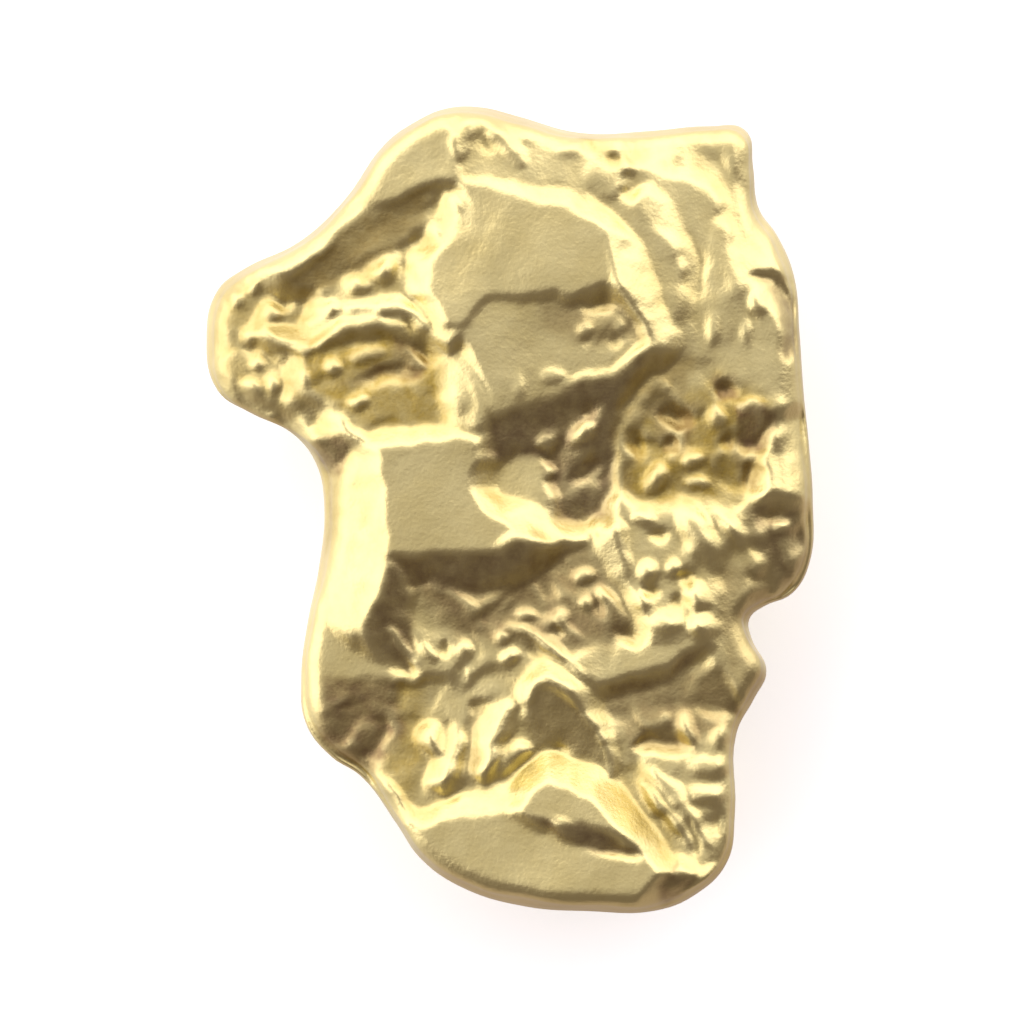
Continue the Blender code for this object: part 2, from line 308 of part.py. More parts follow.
# Crumpled or beaded stretches: name, height, size of a lump, run of the lumps in degrees
# from the east, how much longer they are along that run, corners
CRUMPLES = [
    ("horn chips", 0.13, 0.5, 0, 1.0,
     [(-6.2, 2.4), (-6.2, 4.6), (-5.0, 4.8), (-4.0, 4.3), (-2.6, 4.5), (-2.2, 3.9),
      (-4.0, 3.6), (-3.3, 2.2), (-3.4, 1.2), (-4.3, 1.5), (-5.6, 2.0)]),
    ("basin lumps", 0.12, 0.6, 20, 1.3,
     [(-3.4, 1.7), (-3.5, 3.1), (-2.2, 3.5), (-1.2, 2.9), (-0.9, 1.8), (-2.2, 1.5)]),
    ("north chips", 0.08, 0.5, 0, 1.0,
     [(-1.0, 7.8), (-0.9, 6.7), (0.4, 6.5), (2.2, 6.0), (2.6, 7.5), (1.0, 7.6)]),
    ("south shoulder chips", 0.3, 0.4, 35, 1.6,
     [(-4.0, 4.2), (-3.0, 4.7), (-2.0, 5.4), (-1.4, 6.1), (-1.0, 5.8), (-1.8, 5.0),
      (-3.2, 4.0)]),
    ("north east wrinkles", 0.06, 0.5, 100, 2.4,
     [(2.4, 6.0), (2.4, 7.5), (4.6, 7.5), (5.6, 5.3), (5.7, 3.2), (3.2, 3.4), (2.8, 5.0)]),
    ("corner of the second facet", 0.12, 0.5, 20, 1.5,
     [(1.2, 3.3), (1.2, 4.1), (2.3, 4.2), (2.8, 3.5), (2.1, 3.1)]),
    ("hollow chips", 0.14, 0.6, 60, 1.5,
     [(0.6, 0.2), (0.9, 1.8), (1.8, 2.3), (2.0, 1.0), (1.8, -0.2), (0.9, -0.3)]),
    ("bowl lumps", 0.14, 0.62, 120, 1.2,
     [(2.3, 0.3), (2.4, 1.8), (3.2, 2.7), (4.6, 2.8), (5.3, 1.9), (5.0, 0.5), (3.8, 0.1)]),
    ("bead field chips", 0.06, 0.5, 150, 1.3,
     [(2.1, 0.0), (4.6, 0.1), (4.3, -1.4), (4.1, -2.7), (2.6, -2.6), (2.2, -1.2)]),
    ("middle basin crumple", 0.16, 0.5, -40, 1.9,
     [(-2.1, -1.8), (0.6, -1.1), (1.9, -0.9), (2.3, -2.4), (1.8, -3.5), (-1.2, -3.6),
      (-2.1, -3.1)]),
    ("trough crumple", 0.12, 0.5, 70, 2.4,
     [(-2.3, -3.7), (0.4, -3.7), (0.2, -5.2), (-1.6, -5.9), (-2.4, -5.3)]),
    ("heel crumple", 0.1, 0.5, -55, 2.4,
     [(2.0, -3.9), (3.2, -3.8), (4.4, -4.2), (4.4, -7.0), (3.0, -7.0), (2.1, -5.4)]),
    ("west lobe crumple", 0.2, 0.6, 0, 1.5,
     [(-3.9, -3.7), (-2.1, -3.6), (-2.0, -4.8), (-2.8, -5.2), (-3.9, -4.6)]),
    ("east lobe crumple", 0.22, 0.6, 100, 1.3,
     [(4.7, 0.0), (6.0, 0.0), (5.9, -1.5), (5.0, -1.9), (4.3, -1.5), (4.4, -3.8),
      (5.0, -3.6), (4.8, -1.2)]),
]

# Beads (positive) and pits (negative): x, y, half length east, half length north,
# turn in degrees, height
BEADS = [
    (0.4, 7.45, 0.3, 0.26, 0, 0.1), (1.15, 7.05, 0.3, 0.24, 20, 0.1),
    (1.7, 6.6, 0.45, 0.28, 10, 0.1), (1.55, 7.2, 0.18, 0.22, 0, -0.14),
    (2.15, 6.95, 0.22, 0.18, -45, -0.12), (-0.45, 7.25, 0.18, 0.26, 20, -0.05),
    (4.9, 4.15, 0.28, 0.28, 0, 0.08),
    (-5.33, 4.6, 0.2, 0.16, 0, 0.1), (-5.5, 4.18, 0.2, 0.2, 0, 0.12),
    (-5.1, 4.38, 0.18, 0.18, 0, 0.1), (-4.73, 3.9, 0.3, 0.26, 0, 0.16),
    (-5.18, 3.5, 0.2, 0.18, 0, 0.12), (-5.07, 2.92, 0.18, 0.18, 0, 0.1),
    (-5.14, 2.47, 0.28, 0.2, -30, 0.14), (-4.73, 2.47, 0.2, 0.18, 0, 0.12),
    (-4.4, 2.2, 0.26, 0.18, -30, 0.12), (-4.55, 3.0, 0.26, 0.15, -15, 0.12),
    (-4.1, 2.6, 0.22, 0.15, -30, 0.1), (-3.92, 3.68, 0.32, 0.26, 30, 0.18),
    (-3.58, 4.0, 0.26, 0.2, 30, 0.14), (-3.47, 2.8, 0.24, 0.24, 0, 0.2),
    (-3.05, 2.15, 0.26, 0.2, 35, 0.14), (-5.2, 3.25, 0.24, 0.1, -10, -0.12),
    (-3.6, 1.3, 0.28, 0.34, 20, -0.3), (-2.85, 3.08, 0.5, 0.2, 10, 0.09),
    (-2.45, 2.62, 0.85, 0.17, 6, -0.1), (-1.15, 2.15, 0.3, 0.3, 0, 0.08),
    (-2.45, 4.7, 0.25, 0.3, 0, 0.14), (-3.0, 4.45, 0.3, 0.2, 20, 0.12),
    (-1.5, 5.5, 0.2, 0.26, 30, 0.14), (-1.1, 6.1, 0.34, 0.18, -50, 0.14),
    (0.85, 2.65, 0.26, 0.22, 0, 0.12), (0.2, 2.4, 0.14, 0.3, 0, 0.08),
    (1.45, 3.6, 0.26, 0.22, 0, 0.07), (2.2, 3.65, 0.2, 0.2, 0, 0.06),
    (1.5, 3.35, 0.16, 0.14, 0, -0.06), (2.1, 3.3, 0.22, 0.16, 0, -0.06),
    (1.8, 4.05, 0.5, 0.16, 0, -0.14), (1.4, 1.5, 0.42, 0.2, 35, 0.14),
    (0.7, 1.35, 0.3, 0.2, 20, 0.1), 
    (3.3, 1.85, 0.45, 0.25, -10, -0.18), (3.2, 1.3, 0.24, 0.22, 0, -0.14),
    (4.3, 2.35, 0.27, 0.24, 0, -0.16), (4.9, 1.6, 0.36, 0.45, 0, -0.28),
    (4.37, 1.35, 0.24, 0.2, 0, -0.14), (2.45, 1.3, 0.2, 0.36, 10, -0.12),
    (4.8, 0.65, 0.18, 0.32, 0, -0.14), (2.9, 0.62, 0.24, 0.4, -25, 0.2),
    (3.65, 1.05, 0.3, 0.22, 20, 0.16), (3.7, 0.5, 0.3, 0.16, 0, 0.12),
    (4.1, 1.85, 0.2, 0.28, 30, 0.12), (3.0, 2.45, 0.26, 0.24, 0, 0.06),
    (2.95, -0.5, 0.3, 0.2, 0, -0.18), (2.6, -0.15, 0.24, 0.2, 0, 0.12),
    (3.7, -0.5, 0.3, 0.75, 28, 0.2), (4.35, -0.3, 0.5, 0.16, -38, 0.12),
    (2.68, -1.25, 0.22, 0.24, 0, 0.14), (3.2, -1.2, 0.24, 0.2, 0, 0.12),
    (3.7, -1.7, 0.24, 0.3, 0, 0.14), (3.75, -2.35, 0.3, 0.28, 0, 0.2),
    (2.65, -1.8, 0.2, 0.3, 20, 0.12), (3.1, -2.2, 0.32, 0.22, -20, 0.12),
    (2.8, -1.62, 0.28, 0.15, 0, -0.14), (3.5, -1.38, 0.26, 0.13, -30, -0.12),
    (3.35, -1.85, 0.2, 0.2, 0, -0.1), (5.1, -0.2, 0.3, 0.3, 0, -0.12),
    
    (1.5, -1.35, 0.3, 0.16, 0, 0.12),
    (1.5, -1.85, 0.18, 0.16, -40, 0.1),
    (0.32, -2.13, 0.28, 0.13, -10, 0.12),
    (1.06, -2.17, 0.2, 0.18, 0, 0.12), (0.95, -2.45, 0.22, 0.16, 0, -0.1),
    (-0.05, -2.95, 0.18, 0.17, 0, 0.14), (-0.17, -2.55, 0.16, 0.2, 0, 0.1),
    (-0.87, -2.85, 0.28, 0.22, 0, 0.12), (-1.65, -2.75, 0.16, 0.24, 30, 0.12),
    (-1.32, -2.75, 0.12, 0.24, 0, -0.12), (-1.0, -3.25, 0.24, 0.22, 0, -0.12),
    (-2.85, -4.38, 0.32, 0.28, 0, 0.05), (-2.85, -4.9, 0.4, 0.2, 0, -0.05),
    (-1.65, -4.55, 0.24, 0.3, 20, 0.14), (0.15, -4.8, 0.3, 0.22, 20, 0.14),
    (3.55, -4.4, 0.2, 0.4, 10, 0.14), (3.95, -5.15, 0.55, 0.28, 0, 0.12),
    (3.9, -5.72, 0.48, 0.24, 0, 0.12), (3.6, -1.0, 0.2, 0.3, 0, 0.05),
    (4.2, -4.5, 0.2, 0.25, 0, 0.1),
    (4.15, -6.2, 0.14, 0.34, 0, -0.12), (5.3, 1.4, 0.3, 0.3, 0, 0.12),
    (5.7, -0.6, 0.22, 0.34, 0, -0.16), (5.3, -0.35, 0.34, 0.14, 0, 0.1),
]


def smooth_step(value):
    """Worn blend from 0 to 1."""
    value = np.clip(value, 0.0, 1.0)
    return value * value * (3.0 - 2.0 * value)


def distance_to_line(x, y, points, closed=False):
    """Distance from each place to a run of straight stretches."""
    best = np.full(x.shape, FAR)
    ends = points[1:] + points[:1] if closed else points[1:]
    for (ax, ay), (bx, by) in zip(points, ends):
        dx = bx - ax
        dy = by - ay
        along = np.clip(((x - ax) * dx + (y - ay) * dy) / (dx * dx + dy * dy), 0.0, 1.0)
        best = np.minimum(best, np.hypot(x - ax - along * dx, y - ay - along * dy))
    return best


def distance_and_share(x, y, points):
    """Distance from each place to a run of stretches, and how far along it the place is."""
    best = np.full(x.shape, FAR)
    share = np.zeros(x.shape)
    lengths = [math.dist(a, b) for a, b in zip(points, points[1:])]
    before = 0.0
    for (ax, ay), (bx, by), length in zip(points, points[1:], lengths):
        dx = (bx - ax) / length
        dy = (by - ay) / length
        along = np.clip((x - ax) * dx + (y - ay) * dy, 0.0, length)
        distance = np.hypot(x - ax - along * dx, y - ay - along * dy)
        nearer = distance < best
        best[nearer] = distance[nearer]
        share[nearer] = (before + along[nearer]) / sum(lengths)
        before += length
    return best, share


def inside(x, y, points):
    """True where a place lies inside a closed outline."""
    result = np.zeros(x.shape, bool)
    for (ax, ay), (bx, by) in zip(points, points[1:] + points[:1]):
        if ay == by:
            continue
        crosses = (ay > y) != (by > y)
        result ^= crosses & (x < ax + (bx - ax) * (y - ay) / (by - ay))
    return result


def noise_at(x, y, size, seed):
    """Smooth seeded noise, about -1 to 1, for places of the upper side."""
    return np.array([noise.noise((a / size, b / size, seed)) for a, b in zip(x, y)])


def crumple(x, y, size, run, stretch):
    """Chips with flat faces that lean at random, meeting in worn edges."""
    turned = math.radians(run)
    along = (x * math.cos(turned) + y * math.sin(turned)) / (size * stretch)
    across = (y * math.cos(turned) - x * math.sin(turned)) / size
    height = np.empty(x.shape)
    for index, (a, b) in enumerate(zip(along, across)):
        distances, chips = noise.voronoi((a, b, SEED))
        total = 0.0
        share_sum = 0.0
        for distance, chip in zip(distances, chips):
            share = math.exp(-CHIP_SHARPNESS * (distance - distances[0]))
            lean = noise.cell_vector(chip * 7.3)
            total += share * (2 * (lean.x - 0.5) * (a - chip.x) + 2 * (lean.y - 0.5) * (b - chip.y)
                              + 0.5 * (lean.z - 0.5))
            share_sum += share
        height[index] = total / share_sum
    return height


def cover(x, y, corners, worn):
    """How far a place lies inside an outline with a worn edge, from 0 to 1."""
    edge = distance_to_line(x, y, corners, closed=True)
    edge = np.where(inside(x, y, corners), edge, -edge)
    return smooth_step(0.5 + edge / worn)


def paint_flats(x, y, flats):
    """Lay the sloping flats one over another, on ground that passes smoothly between them."""
    planes = []
    ground = np.zeros(x.shape)
    share_sum = np.zeros(x.shape)
    for _, middle, east, north, worn, corners in flats:
        middle_x = sum(corner[0] for corner in corners) / len(corners)
        middle_y = sum(corner[1] for corner in corners) / len(corners)
        plane = middle + east * (x - middle_x) + north * (y - middle_y)
        edge = distance_to_line(x, y, corners, closed=True)
        edge = np.where(inside(x, y, corners), edge, -edge)
        share = 1.0 / (np.maximum(-edge, 0.0) + GROUND_REACH) ** 4
        ground += share * plane
        share_sum += share
        planes.append((plane, smooth_step(0.5 + edge / worn)))
    height = ground / share_sum
    for plane, laid in planes:
        height = height + (plane - height) * laid
    return height


def waver(x, y):
    """Places moved a little, so that edges laid out as straight lines come out uneven."""
    wide, fine = WAVER_SIZES
    east = noise_at(x, y, wide, seed=5.0) + 0.6 * noise_at(x, y, fine, seed=6.0)
    north = noise_at(x, y, wide, seed=15.0) + 0.6 * noise_at(x, y, fine, seed=16.0)
    return x + EDGE_WAVER * east, y + EDGE_WAVER * north


def wear(height):
    """Rub back every slope steeper than STEEPEST, by moving gold from its top to its foot."""
    limit = STEEPEST * GRID
    for _ in range(WEAR_PASSES):
        for across in (0, 1):
            step = np.diff(height, axis=across)
            surplus = step - np.clip(step, -limit, limit)
            shift = 0.25 * surplus
            if across == 0:
                height[1:] -= shift
                height[:-1] += shift
            else:
                height[:, 1:] -= shift
                height[:, :-1] += shift
    return height


def soften(height):
    """The height averaged lightly with its neighbours, which rounds the sharp creases."""
    for _ in range(SOFTEN_PASSES):
        height[1:-1] = 0.25 * (height[:-2] + height[2:]) + 0.5 * height[1:-1]
        height[:, 1:-1] = 0.25 * (height[:, :-2] + height[:, 2:]) + 0.5 * height[:, 1:-1]
    return height


def worn_relief(x, y):
    """Height of the top above the resting plane at (x, y) in mm, after wear."""
    east = np.arange(-GRID_REACH[0], GRID_REACH[0] + GRID, GRID)
    north = np.arange(-GRID_REACH[1], GRID_REACH[1] + GRID, GRID)
    grid_x, grid_y = np.meshgrid(east, north)
    height = relief(grid_x.ravel(), grid_y.ravel()).reshape(grid_x.shape)
    height = soften(wear(height))
    column = np.clip((x - east[0]) / GRID, 0, len(east) - 1.001)
    row = np.clip((y - north[0]) / GRID, 0, len(north) - 1.001)
    left = column.astype(int)
    low = row.astype(int)
    share_x = column - left
    share_y = row - low
    lower = height[low, left] * (1 - share_x) + height[low, left + 1] * share_x
    upper = height[low + 1, left] * (1 - share_x) + height[low + 1, left + 1] * share_x
    return lower * (1 - share_y) + upper * share_y


def relief(x, y):
    """Height of the upper side, in millimetres, at places given in millimetres."""
    swell = SWELL * noise_at(x, y, SWELL_SIZE, seed=35.0)
    x, y = waver(x, y)
    height = paint_flats(x, y, FLATS) + swell
    for _, rise, size, run, stretch, corners in CRUMPLES:
        share = cover(x, y, corners, CHIP_FADE)
        here = share > 0
        height[here] += rise * share[here] * crumple(x[here], y[here], size, run, stretch)
    uneven = 1.0 + RIDGE_UNEVENNESS * noise_at(x, y, RIDGE_SWELL_SIZE, seed=25.0)
    for _, rise, half_width, points in RIDGES:
        distance, share = distance_and_share(x, y, points)
        middle = np.sqrt(np.sin(np.pi * np.clip(share, 0.0, 1.0)))
        fullness = RIDGE_END + (1.0 - RIDGE_END) * middle
        reach = np.clip(distance / (half_width * fullness * uneven), 0.0, 1.0)
        height = height + rise * fullness * uneven * (1.0 - reach ** 2) ** 1.5
    for bead_x, bead_y, half_east, half_north, turn, rise in BEADS:
        turned = math.radians(turn)
        along = (x - bead_x) * math.cos(turned) + (y - bead_y) * math.sin(turned)
        across = (y - bead_y) * math.cos(turned) - (x - bead_x) * math.sin(turned)
        reach = np.clip((along / half_east) ** 2 + (across / half_north) ** 2, 0.0, 1.0)
        height = height + rise * (1.0 - reach) ** 1.3
    return height


def underside(x, y):
    """Height of the underside above the surface that it lies on."""
    height = paint_flats(x, y, UNDER_FLATS)
    big, small = UNDERSIDE_CHIP_SIZES
    height = height + UNDERSIDE_CHIPS * crumple(x, y, big, 30, 1.4)
    height = height + 0.5 * UNDERSIDE_CHIPS * crumple(x, y, small, 70, 1.4)
    rest = cover(x, y, REST_PATCH, REST_EDGE)
    return np.maximum(height, LEAST_GAP) * (1.0 - rest)


def lumps(places, size, seed):
    """Smooth seeded noise, about -1 to 1, for an array of places in millimetres."""
    shift = Vector((seed, SEED, -seed))
    return np.array([noise.noise(Vector(place) / size + shift) for place in places])


def clear_scene():
    for thing in list(bpy.data.objects):
        bpy.data.objects.remove(thing, do_unlink=True)


def plain_lump(voxel):
    """The outline as a flat slab with worn edges, as one even mesh of small facets."""
    curve = bpy.data.curves.new("outline", "CURVE")
    curve.dimensions = "2D"
    curve.fill_mode = "BOTH"
    curve.extrude = (SLAB_HEIGHT / 2 - EDGE_ROUNDING) * MM
    curve.bevel_depth = EDGE_ROUNDING * MM
    curve.bevel_resolution = 5
    curve.offset = -EDGE_ROUNDING * MM
    curve.resolution_u = 6
    spline = curve.splines.new("BEZIER")
    spline.bezier_points.add(len(OUTLINE) - 1)
    spline.use_cyclic_u = True
    for point, (x, y) in zip(spline.bezier_points, OUTLINE):
        point.co = (x * MM, y * MM, 0.0)
        point.handle_left_type = "AUTO"
        point.handle_right_type = "AUTO"
    slab = bpy.data.objects.new("slab", curve)
    bpy.context.scene.collection.objects.link(slab)
    slab.location.z = SLAB_HEIGHT / 2 * MM
    bpy.context.view_layer.update()
    seen = slab.evaluated_get(bpy.context.evaluated_depsgraph_get())
    mesh = bpy.data.meshes.new_from_object(seen)
    mesh.transform(slab.matrix_world)
    bpy.data.objects.remove(slab, do_unlink=True)
    welded = bmesh.new()
    welded.from_mesh(mesh)
    bmesh.ops.remove_doubles(welded, verts=welded.verts, dist=0.001 * MM)
    welded.to_mesh(mesh)
    welded.free()
    lump = bpy.data.objects.new("nugget", mesh)
    bpy.context.scene.collection.objects.link(lump)
    remesh = lump.modifiers.new("even facets", "REMESH")
    remesh.mode = "VOXEL"
    remesh.voxel_size = voxel * MM
    apply_modifiers(lump)
    return lump


def apply_modifiers(thing):
    """Turn what the modifiers show into the object's own mesh."""
    bpy.context.view_layer.update()
    seen = thing.evaluated_get(bpy.context.evaluated_depsgraph_get())
    mesh = bpy.data.meshes.new_from_object(seen)
    thing.modifiers.clear()
    old = thing.data
    thing.data = mesh
    bpy.data.meshes.remove(old)


def shape_lump(lump):
    """Draw the sides in, then work the relief of both faces into the plain lump."""
    count = len(lump.data.vertices)
    places = np.empty(count * 3)
    lump.data.vertices.foreach_get("co", places)
    places = places.reshape(count, 3) / MM
    x, y, z = places[:, 0], places[:, 1], places[:, 2]

    # the belt, where the lump is widest, rises and falls round the sides
    angle = np.arctan2(y, x)
    belt = BELT_HEIGHT + BELT_WANDER * (np.sin(2 * angle + 0.7) + 0.6 * np.sin(5 * angle)) / 1.6
    depth = distance_to_line(x, y, OUTLINE, closed=True)
    near_side = np.exp(-((depth / SIDE_REACH) ** 2))
    above = np.clip((z - belt) / (SLAB_HEIGHT - belt), 0.0, 1.0)
    below = np.clip((belt - z) / belt, 0.0, 1.0)
    big, small = SIDE_LUMP_SIZES
    dents = 1.5 + lumps(places, big, seed=3.0) + 0.5 * lumps(places, small, seed=4.0)
    tuck = UPPER_TUCK * above ** 2 + LOWER_TUCK * below ** 2
    side_lumps = SIDE_LUMPS * dents * (below + 0.25 * above)
    draw_in = 1.0 - (tuck + side_lumps) * near_side / np.maximum(np.hypot(x, y), 1.0)
    x = x * draw_in
    y = y * draw_in

    upper = smooth_step((z - belt) / (SLAB_HEIGHT - belt))
    lower = smooth_step((belt - z) / belt)
    z = z + upper * (worn_relief(x, y) - SLAB_HEIGHT) + lower * underside(x, y)
    z[z < REST_FLATNESS] = 0.0

    shaped = np.column_stack((x, y, z))
    middle = (shaped.min(axis=0) + shaped.max(axis=0)) / 2
    shaped[:, :2] -= middle[:2]
    shaped *= MM
    lump.data.vertices.foreach_set("co", shaped.ravel())
    lump.data.update()


def gold():
    """Native gold: pale yellow metal, worn to a soft sheen."""
    material = bpy.data.materials.new("native gold")
    material.use_nodes = True
    shader = material.node_tree.nodes["Principled BSDF"]
    shader.inputs["Base Color"].default_value = GOLD_COLOUR
    shader.inputs["Metallic"].default_value = 1.0
    shader.inputs["Roughness"].default_value = GOLD_ROUGHNESS
    return material


def main():
    clear_scene()
    lump = plain_lump(VOXEL)
    shape_lump(lump)
    dense = len(lump.data.polygons) * 2
    decimate = lump.modifiers.new("fewer facets", "DECIMATE")
    decimate.ratio = TRIANGLES / dense
    decimate.use_collapse_triangulate = True
    apply_modifiers(lump)
    lump.data.materials.append(gold())
    collection = bpy.data.collections.new("gold nugget")
    bpy.context.scene.collection.children.link(collection)
    bpy.context.scene.collection.objects.unlink(lump)
    collection.objects.link(lump)


if __name__ == "__main__":
    main()
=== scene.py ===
"""Gold nugget: looks of a water-worn lump of native gold, on a pale studio floor.

Heights, places and sizes in the tables are in millimetres, seen from above: x grows to
the right (east), y grows away from the viewer (north), z is height above the floor.
"""

import math

import bmesh
import bpy
import numpy as np
from bpy.props import FloatProperty, FloatVectorProperty, PointerProperty
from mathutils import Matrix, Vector, noise


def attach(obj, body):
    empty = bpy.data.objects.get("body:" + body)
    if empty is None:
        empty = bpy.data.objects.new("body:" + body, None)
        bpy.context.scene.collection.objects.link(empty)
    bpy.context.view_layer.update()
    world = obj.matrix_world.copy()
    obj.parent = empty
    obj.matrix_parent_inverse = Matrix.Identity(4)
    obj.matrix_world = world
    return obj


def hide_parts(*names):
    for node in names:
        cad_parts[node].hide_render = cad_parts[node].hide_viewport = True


bl_info = {
    "name": "Gold Nugget",
    "version": (1, 0, 0),
    "blender": (4, 5, 0),
    "location": "View3D > Sidebar > Nugget",
    "description": "Builds a water-worn nugget of native gold and a soft studio round it",
    "category": "Add Mesh",
}

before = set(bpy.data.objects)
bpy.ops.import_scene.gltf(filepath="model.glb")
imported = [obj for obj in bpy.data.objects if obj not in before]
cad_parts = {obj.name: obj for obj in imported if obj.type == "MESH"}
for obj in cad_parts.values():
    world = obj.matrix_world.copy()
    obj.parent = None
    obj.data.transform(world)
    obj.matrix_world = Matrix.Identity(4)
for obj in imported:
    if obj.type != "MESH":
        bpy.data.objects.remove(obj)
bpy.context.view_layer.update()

MM = 0.001

# Sides of the lump, in millimetres
BELT_WANDER = 0.5        # how far the widest level rises and falls round the lump
BELT_WAVES = [           # share, number round the lump, start in radians
    (1.0, 2, 0.7),
    (0.6, 5, 0.0),
]
UPPER_TUCK = 0.12        # how far the sides draw in from the belt to the upper side
SIDE_REACH = 1.2         # how far in from the sides their dents and tuck are felt
SIDE_DENTS = 0.3         # depth of the dents of the sides
SIDE_DENT_LAYERS = [     # share, size, seed
    (1.0, 2.2, 3.0),
    (0.5, 0.8, 4.0),
]
SIDE_DENT_MEAN = 1.5     # how far in the dented sides stand, counted in dents
UPPER_DENT_SHARE = 0.25  # depth of the dents above the belt, against those below it
SEED = 11.0              # picks the dents of the sides and all the chips

# Underside, in millimetres
UNDERSIDE_CHIPS = [      # height, size of a chip, run of the chips in degrees
    (0.4, 1.2, 30),
    (0.2, 0.6, 70),
]
UNDERSIDE_STRETCH = 1.4  # how much longer these chips are along their run
REST_EDGE = 0.6          # width over which the underside meets the patch that it rests on
REST_FLATNESS = 0.004    # facets lower than this lie flat on the surface
LEAST_GAP = 0.05         # the underside stands at least this high away from that patch
THINNED_BELOW = 0.8      # its facets are joined up to this share of the belt's height
FACETS_LEFT = 0.78       # share of all the lump's facets that is left after that

# Relief of the upper side, in millimetres
GROUND_REACH = 0.12      # how soon the ground between two flats takes after the nearer
GROUND_FALLOFF = 4       # how sharply it does so
EDGE_WAVER = 0.1         # how far the edges of the flats waver
WAVER_SIZES = (0.8, 0.3)
WAVER_SEEDS = ((5.0, 6.0), (15.0, 16.0))
FINE_WAVER = 0.6         # how far the finer waver goes, against the wider one
SWELL = 0.06             # how far the flats swell and dip
SWELL_SIZE = 1.6
SWELL_SEED = 35.0
RIDGE_UNEVENNESS = 0.45  # how much the ridges swell and thin along their run
RIDGE_SWELL_SIZE = 0.35
RIDGE_SEED = 25.0
RIDGE_END = 0.35         # fullness of a ridge at its ends
RIDGE_FLANK = 1.5        # how gently the flanks of a ridge run out
BEAD_FLANK = 1.3         # the same for a bead or a pit
CHIP_SHARPNESS = 22.0    # how sharply one chipped face turns into the next
CHIP_STEP = 0.5          # height of the steps between chips, against their lean
CHIP_SPREAD = 7.3        # sets chips far enough apart for each to lean its own way
CHIP_FADE = 0.5          # width over which a chipped stretch fades out
STEEPEST = 0.8           # steepest slope that wear leaves on the top
WEAR_PASSES = 120
WEAR_SHARE = 0.25        # share of a slope's surplus that one pass rubs off
GRID = 0.05              # spacing of the places at which the top is worked out
GRID_REACH = (6.4, 8.4)  # how far that grid reaches east and north
FAR = 1e9                # farther than any place of the lump

# The outline seen from above: points that a smooth closed curve runs through
OUTLINE = [
    (6.06, 0.2), (5.98, 1.24), (5.87, 2.3), (5.79, 3.5), (5.68, 4.7), (5.35, 5.5),
    (4.98, 6.05), (4.87, 6.9), (4.72, 7.62), (4.0, 7.7), (2.79, 7.6), (1.4, 7.56),
    (0.1, 7.91), (-0.59, 8.08), (-1.29, 8.06), (-1.93, 7.79), (-2.51, 7.38), (-3.37, 6.21),
    (-4.26, 5.39), (-5.4, 4.82), (-5.9, 4.4), (-6.11, 3.45), (-5.88, 2.38), (-5.25, 1.95),
    (-4.35, 1.5), (-3.9, 0.91), (-3.74, 0.1), (-3.86, -1.24), (-4.06, -2.2), (-4.2, -3.41),
    (-4.1, -4.3), (-3.6, -4.95), (-3.0, -5.35), (-2.28, -6.33), (-1.83, -7.0), (-1.0, -7.6),
    (0.3, -8.0), (1.56, -8.09), (2.9, -8.08), (3.7, -7.76), (4.35, -7.1), (4.51, -6.1),
    (4.54, -4.5), (4.9, -3.8), (5.15, -3.25), (4.85, -2.6), (4.8, -2.2), (5.1, -1.95),
    (5.65, -1.7), (6.0, -1.1),
]

